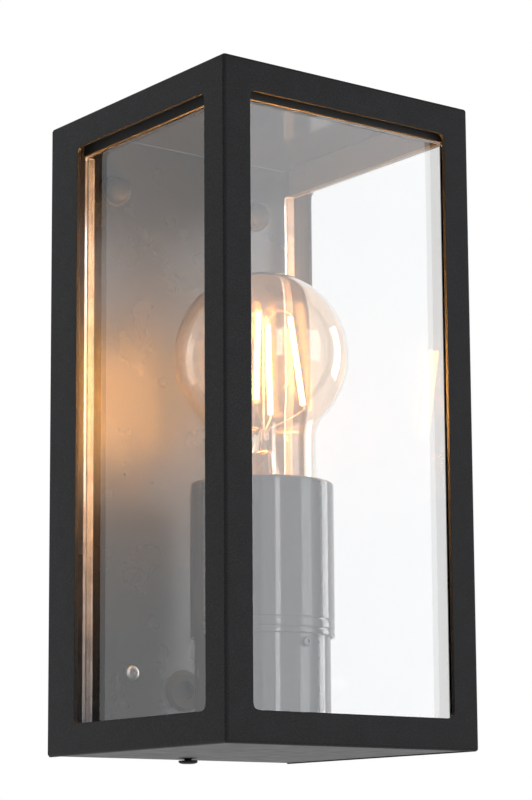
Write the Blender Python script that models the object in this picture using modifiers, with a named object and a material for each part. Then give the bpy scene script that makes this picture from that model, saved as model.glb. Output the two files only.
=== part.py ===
"""Outdoor wall lantern: a black sheet-metal cage with a clear shade, on a wall-mounted chassis.

Metres, +Z up. The wall is the plane Y = 0 and the lantern stands out along -Y. The origin is the
middle of the wall bracket's back. Sizes are written in millimetres and turned into metres by MM.
"""

import math

import bmesh
import bpy
from mathutils import Vector

MM = 0.001

# Cage: the five welded sheet panels that make the outer box.
CAGE_HEIGHT = 230 * MM
CAGE_WIDTH = 108 * MM
CAGE_DEPTH = 108 * MM
SHEET = 1.5 * MM
WELD_GAP = 0.3 * MM
WALL_GAP = 0.4 * MM
FRONT_POST = 11 * MM
SIDE_POST_FRONT = 11.5 * MM
SIDE_POST_REAR = 17.5 * MM
RAIL = 11 * MM
WINDOW_CORNER = 2.5 * MM

# Clear shade and its seal.
SHADE_WALL = 2.5 * MM
SHADE_INSET_SIDE = 5.4 * MM
SHADE_INSET_FRONT = 4 * MM
SHADE_CORNER = 2.5 * MM
SHADE_RIM = 5.5 * MM
SHADE_REAR = 12.5 * MM
SHADE_TOP_DROP = 13 * MM
SEAL_WIDTH = 4 * MM

# Chassis: back plate, floor plate and the brackets that join them.
PLATE = 1.2 * MM
PLATE_STANDOFF = 7.8 * MM
PLATE_SIDE_GAP = 0.7 * MM
FLOOR_LIFT = 0.6 * MM
FLOOR_SIDE_GAP = 0.8 * MM
FLOOR_FRONT_GAP = 1.2 * MM
CORNER_BRACKET_INSET = 18.3 * MM
CORNER_BRACKET_WIDTH = 11 * MM
CORNER_BRACKET_HEIGHT = 42 * MM
CORNER_BRACKET_FOOT = 9 * MM
CORNER_SCREW_HEIGHT = 27 * MM
PLATE_SCREW_END = 1.5 * MM

# Wall bracket, its studs and the cable entry.
BRACKET_PLATE = 2 * MM
BRACKET_MARGIN = 12 * MM
WALL_SLOT_WIDTH = 5 * MM
WALL_SLOT_LENGTH = 9 * MM
WALL_SLOT_INSET = 14 * MM
WALL_SLOT_DROP = 43 * MM
STUD_INSET = 12.1 * MM
STUD_DROP = 22 * MM
STUD_RADIUS = 2 * MM
STUD_END = 3.5 * MM
BRACKET_CORNER = 4 * MM
SPACER_RADIUS = 4.5 * MM
CAP_NUT_RADIUS = 5.8 * MM
CAP_NUT_HEIGHT = 6.5 * MM
CABLE_HEIGHT = 25 * MM
CABLE_RADIUS = 3.5 * MM
GROMMET_NECK = 5.2 * MM
GROMMET_FLANGE = 7.6 * MM
GROMMET_LIP = 1.4 * MM

# Lamp holder and the tubes around it.
LAMP_FORWARD = 0.75 * MM
SLEEVE_RADIUS = 24.6 * MM
SLEEVE_WALL = 1.1 * MM
SLEEVE_LIFT = 95 * MM
SLEEVE_HEIGHT = 54.5 * MM
SLEEVE_PLAY = 0.4 * MM
GRUB_RADIUS = 1.7 * MM
GRUB_HEIGHT = 1.2 * MM
GRUB_DROP = 3 * MM
TUBE_WALL = 1.2 * MM
TUBE_OVERLAP = 4.5 * MM
TUBE_FLANGE = 7 * MM
TUBE_SCREW_INSET = 4.9 * MM
HOLDER_PLATE = 1.2 * MM
THREAD_RECESS = 1.5 * MM
THREAD_LIFT = 4 * MM
HOLDER_WALL = 4.3 * MM
HOLDER_SINK = 14 * MM
NIPPLE_RADIUS = 5 * MM
NIPPLE_BORE = 3.9 * MM
NIPPLE_LENGTH = 10 * MM
NIPPLE_GRIP = 4 * MM
HOLDER_DEPTH = 3 * MM
NUT_HEIGHT = 2.6 * MM
NUT_HALF_WIDTH = 7 * MM
WIRE_X = 10 * MM
WIRE_RADIUS = 1.1 * MM
TERMINAL_SIZE = (20 * MM, 12 * MM, 11 * MM)
TERMINAL_SCREW_X = 5 * MM
TERMINAL_HEAD = 1.6 * MM
TERMINAL_SHANK = 1.1 * MM
TERMINAL_HOLE_DEPTH = 6 * MM
TERMINAL_RECESS = 0.8 * MM

# E27 lamp. Its heights are measured up from the top of the cap.
LAMP_RISE = 89.8 * MM
LAMP_RADIUS = 30.4 * MM
LAMP_GLASS = 1 * MM
NECK_FLARE = 5.4 * MM
MOUTH_STEP = 0.3 * MM
GLOBE_END = 135
NECK_TOP_RISE = 29 * MM
NECK_BOTTOM_RISE = 9 * MM
CAP_RADIUS = 13.1 * MM
CAP_LIFT = 1 * MM
CAP_HEIGHT = 20.5 * MM
CAP_WALL = 0.6 * MM
CONTACT_HEIGHT = 1.5 * MM
CONTACT_RADIUS = 4.5 * MM
LAMP_DEPTH = 25.5 * MM
THREAD_CLEARANCE = 0.7 * MM
STEM_RADIUS = 4.7 * MM
STEM_FLARE = 10 * MM
STEM_RISE = 33 * MM
STEM_WAIST_RISE = 19.5 * MM
FILAMENT_RADIUS = 1 * MM
FILAMENT_RISE = 41 * MM
FILAMENT_HEIGHT = 32.7 * MM
FILAMENT_SPREAD_BOTTOM = 14.2 * MM
FILAMENT_SPREAD_TOP = 9.8 * MM
FILAMENT_TURN = -47
RING_OFFSET = 2 * MM
RING_THICKNESS = 0.8 * MM

# Lock screw under the cage's rear bar.
LOCK_Y = -10 * MM
LOCK_SHANK = 1.5 * MM
LOCK_HEAD = 3.5 * MM
LOCK_HEAD_HEIGHT = 1.2 * MM

# Clearances shared by every fit.
GAP = 0.3 * MM
HOLE_PLAY = 0.3 * MM
SCREW_SHANK = 1.5 * MM
SCREW_HEAD = 2.8 * MM
SCREW_HEAD_HEIGHT = 1.8 * MM

ROUND_STEPS = 32
SMALL_STEPS = 16
ARC_STEPS = 4
CURVE_STEPS = 5
GLOBE_STEPS = 12
ROUTE_STEPS = 16
SCREW_MERGE = 0.00001
SMOOTH_ANGLE = math.radians(35)

# Planes and places worked out from the driving sizes.
TOP = CAGE_HEIGHT / 2
BOTTOM = -CAGE_HEIGHT / 2
HALF_WIDTH = CAGE_WIDTH / 2
PLATE_FRONT = -(PLATE_STANDOFF + PLATE)
FLOOR_BOTTOM = BOTTOM + SHEET + FLOOR_LIFT
FLOOR_TOP = FLOOR_BOTTOM + PLATE
SHADE_OUTER = HALF_WIDTH - SHADE_INSET_SIDE
SHADE_FRONT = -(CAGE_DEPTH - SHADE_INSET_FRONT)
SHADE_TOP = TOP - SHADE_TOP_DROP
FLOOR_HALF_WIDTH = SHADE_OUTER - SHADE_RIM - FLOOR_SIDE_GAP
FLOOR_FRONT = SHADE_FRONT + SHADE_WALL + FLOOR_FRONT_GAP
CORNER_BRACKET_X = FLOOR_HALF_WIDTH - CORNER_BRACKET_INSET
BRACKET_WIDTH = CAGE_WIDTH - 2 * BRACKET_MARGIN
BRACKET_HEIGHT = CAGE_HEIGHT - 2 * BRACKET_MARGIN
WALL_SLOT_X = BRACKET_WIDTH / 2 - WALL_SLOT_INSET
WALL_SLOT_Z = BRACKET_HEIGHT / 2 - WALL_SLOT_DROP
STUD_X = SHADE_OUTER - SHADE_RIM - STUD_INSET
STUD_Z = TOP - STUD_DROP
CABLE_Z = BOTTOM + CABLE_HEIGHT
LAMP_Y = (PLATE_FRONT + SHADE_FRONT + SHADE_WALL) / 2 - LAMP_FORWARD
TUBE_RADIUS = SLEEVE_RADIUS - SLEEVE_WALL - SLEEVE_PLAY
TUBE_SCREW_RADIUS = TUBE_RADIUS - TUBE_SCREW_INSET
SLEEVE_TOP = BOTTOM + SLEEVE_LIFT
SLEEVE_BOTTOM = SLEEVE_TOP - SLEEVE_HEIGHT
TUBE_TOP = SLEEVE_BOTTOM + TUBE_OVERLAP
TUBE_BOTTOM = FLOOR_TOP + GAP
HOLDER_TOP = SLEEVE_TOP - HOLDER_SINK
CAP_TOP = HOLDER_TOP + CAP_LIFT
NECK_TOP = CAP_TOP + NECK_TOP_RISE
NECK_BOTTOM = CAP_TOP + NECK_BOTTOM_RISE
LAMP_TOP = CAP_TOP + LAMP_RISE
LAMP_BOTTOM = CAP_TOP - LAMP_DEPTH
STEM_TOP = CAP_TOP + STEM_RISE
STEM_WAIST = CAP_TOP + STEM_WAIST_RISE
FILAMENT_BOTTOM = CAP_TOP + FILAMENT_RISE
FILAMENT_TOP = FILAMENT_BOTTOM + FILAMENT_HEIGHT
HOLDER_PLATE_BOTTOM = TUBE_TOP + GAP
HOLDER_BOTTOM = HOLDER_PLATE_BOTTOM + HOLDER_PLATE + GAP
HOLDER_SEAT = LAMP_BOTTOM - HOLDER_DEPTH
NIPPLE_TOP = HOLDER_BOTTOM + NIPPLE_GRIP
LAMP_NECK = CAP_RADIUS + NECK_FLARE
LAMP_MOUTH = CAP_RADIUS - MOUTH_STEP
SHELL_INNER = CAP_RADIUS + THREAD_CLEARANCE
SHELL_OUTER = SHELL_INNER + CAP_WALL
HOLDER_BORE = SHELL_OUTER + GAP
HOLDER_RADIUS = HOLDER_BORE + HOLDER_WALL
TERMINAL_TOP = FLOOR_TOP + GAP + TERMINAL_SIZE[2]

COLOURS = {
    "black_paint": ((0.018, 0.018, 0.019), 0.55, 0.0),
    "black_plate": ((0.02, 0.02, 0.021), 0.3, 0.0),
    "zinc_steel": ((0.55, 0.55, 0.53), 0.35, 1.0),
    "clear_shade": ((0.92, 0.95, 0.95), 0.03, 0.0),
    "black_rubber": ((0.02, 0.02, 0.02), 0.8, 0.0),
    "sleeve_paint": ((0.03, 0.03, 0.032), 0.25, 0.0),
    "porcelain": ((0.82, 0.8, 0.76), 0.25, 0.0),
    "brass": ((0.75, 0.55, 0.25), 0.3, 1.0),
    "terminal_plastic": ((0.8, 0.8, 0.76), 0.5, 0.0),
    "live_wire": ((0.25, 0.1, 0.04), 0.5, 0.0),
    "neutral_wire": ((0.05, 0.15, 0.5), 0.5, 0.0),
    "lamp_glass": ((0.95, 0.93, 0.88), 0.02, 0.0),
    "filament": ((1.0, 0.72, 0.3), 0.4, 0.0),
    "lamp_metal": ((0.75, 0.75, 0.74), 0.25, 1.0),
    "lamp_insulator": ((0.03, 0.03, 0.035), 0.2, 0.0),
}


def clear_scene():
    """Remove every object that the scene starts with."""
    for item in list(bpy.data.objects):
        bpy.data.objects.remove(item)


def make_collection(name, helper=False):
    """Return a new collection under the scene; a helper one stays out of renders."""
    collection = bpy.data.collections.new(name)
    bpy.context.scene.collection.children.link(collection)
    collection.hide_render = helper
    return collection


def make_materials():
    """Return one Principled material for each finish."""
    made = {}
    for name, (colour, roughness, metallic) in COLOURS.items():
        material = bpy.data.materials.new(name)
        material.use_nodes = True
        shader = material.node_tree.nodes["Principled BSDF"]
        shader.inputs["Base Color"].default_value = (*colour, 1.0)
        shader.inputs["Roughness"].default_value = roughness
        shader.inputs["Metallic"].default_value = metallic
        if name in ("clear_shade", "lamp_glass"):
            shader.inputs["Transmission Weight"].default_value = 1.0
        made[name] = material
    return made


clear_scene()
PARTS = make_collection("outdoor_wall_lantern")
CUTTERS = make_collection("cutters", helper=True)
MATERIALS = make_materials()


def make_empty(name, location, parent=None):
    """Return an empty that carries the pieces of one moving body."""
    empty = bpy.data.objects.new(name, None)
    PARTS.objects.link(empty)
    empty.parent = parent
    empty.location = Vector(location) - (parent.location if parent else Vector())
    return empty


CAGE_AXIS = make_empty("cage_axis", (0, 0, 0))
LOCK_AXIS = make_empty("lock_screw_axis", (0, LOCK_Y, BOTTOM), CAGE_AXIS)
LAMP_AXIS = make_empty("lamp_axis", (0, LAMP_Y, 0))


def add_part(name, data, material, location=(0, 0, 0), rotation=(0, 0, 0), parent=None):
    """Link one named piece into the parts collection."""
    piece = bpy.data.objects.new(name, data)
    PARTS.objects.link(piece)
    data.materials.append(MATERIALS[material])
    piece.parent = parent
    piece.location = Vector(location) - (parent.matrix_basis.translation if parent else Vector())
    piece.rotation_euler = rotation
    return piece


def box_mesh(name, low, high):
    """Return a box mesh between two corners."""
    low, high = Vector(low), Vector(high)
    shape = bmesh.new()
    bmesh.ops.create_cube(shape, size=1.0)
    bmesh.ops.scale(shape, vec=high - low, verts=shape.verts)
    bmesh.ops.translate(shape, vec=(low + high) / 2, verts=shape.verts)
    mesh = bpy.data.meshes.new(name)
    shape.to_mesh(mesh)
    shape.free()
    return mesh


def arc(centre, radius, start, end):
    """Return the points of an arc, its angles in degrees."""
    angles = [math.radians(start + (end - start) * k / ARC_STEPS) for k in range(ARC_STEPS + 1)]
    return [(centre[0] + radius * math.cos(a), centre[1] + radius * math.sin(a)) for a in angles]


def rounded_rectangle(low, high, radius):
    """Return the outline of a rectangle with round corners."""
    (x0, y0), (x1, y1) = low, high
    return (
        arc((x1 - radius, y0 + radius), radius, -90, 0)
        + arc((x1 - radius, y1 - radius), radius, 0, 90)
        + arc((x0 + radius, y1 - radius), radius, 90, 180)
        + arc((x0 + radius, y0 + radius), radius, 180, 270)
    )


def circle(centre, radius, steps=SMALL_STEPS):
    """Return the outline of a round hole."""
    angles = [2 * math.pi * k / steps for k in range(steps)]
    return [(centre[0] + radius * math.cos(a), centre[1] + radius * math.sin(a)) for a in angles]


def rectangle(low, high):
    """Return the outline of a plain rectangle."""
    return [(low[0], low[1]), (high[0], low[1]), (high[0], high[1]), (low[0], high[1])]


def flat_plate(name, outlines, thickness, material, location, rotation, parent=None):
    """Return a flat sheet from closed outlines: the first is its edge, the rest are holes."""
    curve = bpy.data.curves.new(name, "CURVE")
    curve.dimensions = "2D"
    curve.fill_mode = "BOTH"
    curve.extrude = thickness / 2
    for outline in outlines:
        spline = curve.splines.new("POLY")
        spline.points.add(len(outline) - 1)
        for point, (x, y) in zip(spline.points, outline):
            point.co = (x, y, 0, 1)
        spline.use_cyclic_u = True
    return add_part(name, curve, material, location, rotation, parent)


FACING_FRONT = (math.pi / 2, 0, 0)
FACING_SIDE = (math.pi / 2, 0, math.pi / 2)
FLAT = (0, 0, 0)


def turned(name, profile, material, location, steps=ROUND_STEPS, rotation=(0, 0, 0), parent=None):
    """Return a turned piece: profile points are (radius, height), its outer side top to bottom.

    A profile that starts and ends on the axis is left open, and any other is closed.
    """
    mesh = bpy.data.meshes.new(name)
    points = [(radius, 0, height) for radius, height in profile]
    edges = [(k, k + 1) for k in range(len(points) - 1)]
    if profile[0][0] > 0:
        edges.append((len(points) - 1, 0))
    mesh.from_pydata(points, edges, [])
    piece = add_part(name, mesh, material, location, rotation, parent)
    screw = piece.modifiers.new("turn", "SCREW")
    screw.steps = steps
    screw.render_steps = steps
    screw.use_merge_vertices = True
    screw.merge_threshold = SCREW_MERGE
    screw.use_smooth_shade = True
    return piece


def tube_profile(outer, inner, top, bottom):
    """Return the closed profile of a plain tube."""
    return [(outer, top), (outer, bottom), (inner, bottom), (inner, top)]


def bent_sheet(name, path, low, high, thickness, material, along="Z", parent=None):
    """Return a sheet that follows a path, drawn from low to high across it, then thickened."""
    shape = bmesh.new()
    corners = []
    for first, second in path:
        place = (first, second, low) if along == "Z" else (low, first, second)
        corners.append(shape.verts.new(place))
    edges = [shape.edges.new(pair) for pair in zip(corners, corners[1:])]
    grown = bmesh.ops.extrude_edge_only(shape, edges=edges)["geom"]
    moved = [item for item in grown if isinstance(item, bmesh.types.BMVert)]
    step = (0, 0, high - low) if along == "Z" else (high - low, 0, 0)
    bmesh.ops.translate(shape, vec=step, verts=moved)
    bmesh.ops.recalc_face_normals(shape, faces=shape.faces)
    mesh = bpy.data.meshes.new(name)
    shape.to_mesh(mesh)
    shape.free()
    piece = add_part(name, mesh, material, parent=parent)
    wall = piece.modifiers.new("wall", "SOLIDIFY")
    wall.thickness = thickness
    wall.offset = 0
    wall.use_even_offset = True
    return piece


def cut_round(piece, name, centre, radius, length, axis="Z"):
    """Cut a round hole through a mesh piece."""
    shape = bmesh.new()
    bmesh.ops.create_cone(
        shape, cap_ends=True, segments=SMALL_STEPS, radius1=radius, radius2=radius, depth=length
    )
    mesh = bpy.data.meshes.new(name)
    shape.to_mesh(mesh)
    shape.free()
    cutter = bpy.data.objects.new(name, mesh)
    CUTTERS.objects.link(cutter)
    cutter.location = centre
    cutter.rotation_euler = {"Z": (0, 0, 0), "Y": (math.pi / 2, 0, 0)}[axis]
    cutter.hide_render = True
    cutter.display_type = "WIRE"
    hole = piece.modifiers.new(name, "BOOLEAN")
    hole.operation = "DIFFERENCE"
    hole.object = cutter


def screw_profile(head, head_height, shank, length):
    """Return the profile of a pan-head screw: the head stands on Z = 0, the shank runs down."""
    return [
        (0, head_height),
        (head * 0.7, head_height),
        (head, head_height * 0.55),
        (head, 0),
        (shank, 0),
        (shank, -length),
        (0, -length),
    ]


def small_screw(name, location, length, rotation=FLAT, material="zinc_steel"):
    """Return one pan-head screw."""
    profile = screw_profile(SCREW_HEAD, SCREW_HEAD_HEIGHT, SCREW_SHANK, length)
    return turned(name, profile, material, location, SMALL_STEPS, rotation)


def wire(name, points, radius, material, parent=None):
    """Return a round wire through the points."""
    curve = bpy.data.curves.new(name, "CURVE")
    curve.dimensions = "3D"
    curve.bevel_depth = radius
    curve.bevel_resolution = 2
    curve.use_fill_caps = True
    spline = curve.splines.new("POLY")
    spline.points.add(len(points) - 1)
    for point, place in zip(spline.points, points):
        point.co = (*place, 1)
    return add_part(name, curve, material, parent=parent)


def smooth_route(stops, count):
    """Return evenly stepped points on a smooth curve through the stops."""
    padded = [stops[0], *stops, stops[-1]]
    points = []
    for k in range(count + 1):
        place = min(k * (len(stops) - 1) / count, len(stops) - 1 - 1e-9)
        index = int(place)
        t = place - index
        a, b, c, d = (Vector(p) for p in padded[index : index + 4])
        squared = (2 * a - 5 * b + 4 * c - d) * t**2
        cubed = (3 * b - a - 3 * c + d) * t**3
        points.append(0.5 * (2 * b + (c - a) * t + squared + cubed))
    return points


def build_cage():
    """The welded sheet panels: front and sides with a window each, roof, and base."""
    side_top = TOP - SHEET - WELD_GAP
    side_bottom = BOTTOM + SHEET + WELD_GAP
    window_top, window_bottom = TOP - RAIL, BOTTOM + RAIL
    flat_plate(
        "front_frame",
        [
            rectangle((-HALF_WIDTH, side_bottom), (HALF_WIDTH, side_top)),
            rounded_rectangle(
                (-HALF_WIDTH + FRONT_POST, window_bottom),
                (HALF_WIDTH - FRONT_POST, window_top),
                WINDOW_CORNER,
            ),
        ],
        SHEET,
        "black_paint",
        (0, -CAGE_DEPTH + SHEET / 2, 0),
        FACING_FRONT,
        CAGE_AXIS,
    )
    for name, side in (("side_frame_left", -1), ("side_frame_right", 1)):
        flat_plate(
            name,
            [
                rectangle((-CAGE_DEPTH + SHEET + WELD_GAP, side_bottom), (-WALL_GAP, side_top)),
                rounded_rectangle(
                    (-CAGE_DEPTH + SIDE_POST_FRONT, window_bottom),
                    (-SIDE_POST_REAR, window_top),
                    WINDOW_CORNER,
                ),
            ],
            SHEET,
            "black_paint",
            (side * (HALF_WIDTH - SHEET / 2), 0, 0),
            FACING_SIDE,
            CAGE_AXIS,
        )
    outline = rectangle((-HALF_WIDTH, -CAGE_DEPTH), (HALF_WIDTH, -WALL_GAP))
    flat_plate(
        "roof_panel", [outline], SHEET, "black_paint", (0, 0, TOP - SHEET / 2), FLAT, CAGE_AXIS
    )
    flat_plate(
        "base_panel",
        [outline, circle((0, LOCK_Y), LOCK_SHANK + HOLE_PLAY)],
        SHEET,
        "black_paint",
        (0, 0, BOTTOM + SHEET / 2),
        FLAT,
        CAGE_AXIS,
    )


def shade_path(wall, rim):
    """Return the middle line of the shade's wall in plan, from rear left to rear right."""
    half = SHADE_OUTER - wall / 2
    front = SHADE_FRONT + wall / 2
    rear = -SHADE_REAR - SHADE_WALL / 2
    left = arc((-half + SHADE_CORNER, front + SHADE_CORNER), SHADE_CORNER, 180, 270)
    right = arc((half - SHADE_CORNER, front + SHADE_CORNER), SHADE_CORNER, 270, 360)
    path = [(-half, rear), *left, *right, (half, rear)]
    if rim:
        inner = SHADE_OUTER - rim
        path = [(-inner, rear), *path, (inner, rear)]
    return path


def build_shade():
    """The clear three-sided shade, and the seal between its top edge and the roof."""
    bent_sheet(
        "clear_shade",
        shade_path(SHADE_WALL, SHADE_RIM),
        BOTTOM + SHEET + GAP,
        SHADE_TOP,
        SHADE_WALL,
        "clear_shade",
        parent=CAGE_AXIS,
    )
    seal_bottom, seal_top = SHADE_TOP + GAP, TOP - SHEET - GAP
    bent_sheet(
        "shade_seal",
        shade_path(SEAL_WIDTH, 0),
        seal_bottom,
        seal_top,
        SEAL_WIDTH,
        "black_rubber",
        parent=CAGE_AXIS,
    )


def build_lock_screw():
    """The screw under the rear bar, whose tip bears on the floor plate."""
    length = SHEET + GAP + FLOOR_LIFT - GAP
    turned(
        "lock_screw",
        [
            (0, length),
            (LOCK_SHANK, length),
            (LOCK_SHANK, 0),
            (LOCK_HEAD, 0),
            (LOCK_HEAD, -LOCK_HEAD_HEIGHT * 0.5),
            (LOCK_HEAD * 0.7, -LOCK_HEAD_HEIGHT),
            (0, -LOCK_HEAD_HEIGHT),
        ],
        "black_paint",
        (0, LOCK_Y, BOTTOM - GAP),
        SMALL_STEPS,
        parent=None,
    )
    screw = bpy.data.objects["lock_screw"]
    screw.parent = LOCK_AXIS
    screw.location = (0, 0, -GAP)


def build_wall_bracket():
    """The flat bracket that is screwed to the wall, its studs, spacers and cap nuts."""
    slots = []
    for x in (-WALL_SLOT_X, WALL_SLOT_X):
        for z in (-WALL_SLOT_Z, WALL_SLOT_Z):
            half_x, half_z = WALL_SLOT_LENGTH / 2, WALL_SLOT_WIDTH / 2
            radius = half_z * 0.98
            slots.append(rounded_rectangle((x - half_x, z - half_z), (x + half_x, z + half_z), radius))
    flat_plate(
        "wall_bracket",
        [
            rounded_rectangle(
                (-BRACKET_WIDTH / 2, -BRACKET_HEIGHT / 2),
                (BRACKET_WIDTH / 2, BRACKET_HEIGHT / 2),
                BRACKET_CORNER,
            ),
            circle((0, CABLE_Z), GROMMET_FLANGE),
            *slots,
        ],
        BRACKET_PLATE,
        "zinc_steel",
        (0, -BRACKET_PLATE / 2, 0),
        FACING_FRONT,
    )
    along_wall = (math.pi / 2, 0, 0)
    spacer_length = PLATE_STANDOFF - BRACKET_PLATE - 2 * GAP
    stud_length = -PLATE_FRONT - BRACKET_PLATE - GAP + STUD_END
    nut_bore = STUD_RADIUS + HOLE_PLAY
    nut_depth = stud_length + GAP + BRACKET_PLATE + PLATE_FRONT
    for name, side in (("left", -1), ("right", 1)):
        x = side * STUD_X
        turned(
            f"bracket_stud_{name}",
            [(0, stud_length), (STUD_RADIUS, stud_length), (STUD_RADIUS, 0), (0, 0)],
            "zinc_steel",
            (x, -BRACKET_PLATE - GAP, STUD_Z),
            SMALL_STEPS,
            along_wall,
        )
        turned(
            f"plate_spacer_{name}",
            tube_profile(SPACER_RADIUS, nut_bore, spacer_length, 0),
            "zinc_steel",
            (x, -BRACKET_PLATE - GAP, STUD_Z),
            SMALL_STEPS,
            along_wall,
        )
        dome = [
            (CAP_NUT_RADIUS * math.sin(a), CAP_NUT_HEIGHT * (0.35 + 0.65 * math.cos(a)))
            for a in (math.radians(90 * k / 5) for k in range(6))
        ]
        turned(
            f"cap_nut_{name}",
            [*dome, (CAP_NUT_RADIUS, 0), (nut_bore, 0), (nut_bore, nut_depth), (0, nut_depth)],
            "black_paint",
            (x, PLATE_FRONT - GAP, STUD_Z),
            24,
            along_wall,
        )


def build_chassis():
    """The back plate and the floor plate, joined by two corner brackets."""
    plate_half = HALF_WIDTH - SHEET - PLATE_SIDE_GAP
    stud_hole = STUD_RADIUS + HOLE_PLAY
    screw_hole = SCREW_SHANK + HOLE_PLAY
    screw_z = FLOOR_TOP + CORNER_SCREW_HEIGHT
    bracket_x = (-CORNER_BRACKET_X, CORNER_BRACKET_X)
    foot_y = PLATE_FRONT - GAP - PLATE - CORNER_BRACKET_FOOT / 2
    flat_plate(
        "back_plate",
        [
            rectangle((-plate_half, FLOOR_BOTTOM), (plate_half, TOP - SHEET - GAP)),
            circle((-STUD_X, STUD_Z), stud_hole),
            circle((STUD_X, STUD_Z), stud_hole),
            circle((0, CABLE_Z), GROMMET_NECK + HOLE_PLAY),
            *[circle((x, screw_z), screw_hole) for x in bracket_x],
        ],
        PLATE,
        "black_plate",
        (0, PLATE_FRONT + PLATE / 2, 0),
        FACING_FRONT,
    )
    tube_screws = [(-TUBE_SCREW_RADIUS, LAMP_Y), (TUBE_SCREW_RADIUS, LAMP_Y)]
    flat_plate(
        "floor_plate",
        [
            rectangle((-FLOOR_HALF_WIDTH, FLOOR_FRONT), (FLOOR_HALF_WIDTH, PLATE_FRONT - GAP)),
            *[circle(place, screw_hole) for place in tube_screws],
            *[circle((x, foot_y), screw_hole) for x in bracket_x],
        ],
        PLATE,
        "black_plate",
        (0, 0, (FLOOR_BOTTOM + FLOOR_TOP) / 2),
        FLAT,
    )
    for name, x in zip(("left", "right"), bracket_x):
        upright_y = PLATE_FRONT - GAP - PLATE / 2
        foot_z = FLOOR_TOP + GAP + PLATE / 2
        bracket = bent_sheet(
            f"corner_bracket_{name}",
            [
                (upright_y, FLOOR_TOP + GAP + CORNER_BRACKET_HEIGHT),
                (upright_y, foot_z),
                (upright_y - PLATE / 2 - CORNER_BRACKET_FOOT, foot_z),
            ],
            x - CORNER_BRACKET_WIDTH / 2,
            x + CORNER_BRACKET_WIDTH / 2,
            PLATE,
            "black_plate",
            along="X",
        )
        upright_centre = (x, upright_y, screw_z)
        cut_round(bracket, f"upright_hole_{name}", upright_centre, screw_hole, 4 * PLATE, "Y")
        cut_round(bracket, f"foot_hole_{name}", (x, foot_y, foot_z), screw_hole, 4 * PLATE)
        head_y = PLATE_FRONT - GAP - PLATE - GAP
        grip = 2 * PLATE + 2 * GAP
        head_z = foot_z + PLATE / 2 + GAP
        small_screw(
            f"plate_screw_{name}", (x, head_y, screw_z), grip + PLATE_SCREW_END, FACING_FRONT
        )
        small_screw(f"foot_screw_{name}", (x, foot_y, head_z), grip)
    half_plate = PLATE / 2 + GAP
    lip = half_plate + GROMMET_LIP
    turned(
        "cable_grommet",
        [
            (GROMMET_FLANGE, lip),
            (GROMMET_FLANGE, half_plate),
            (GROMMET_NECK, half_plate),
            (GROMMET_NECK, -half_plate),
            (GROMMET_FLANGE, -half_plate),
            (GROMMET_FLANGE, -lip),
            (CABLE_RADIUS, -lip),
            (CABLE_RADIUS, lip),
        ],
        "black_rubber",
        (0, PLATE_FRONT + PLATE / 2, CABLE_Z),
        24,
        FACING_FRONT,
    )


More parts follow.
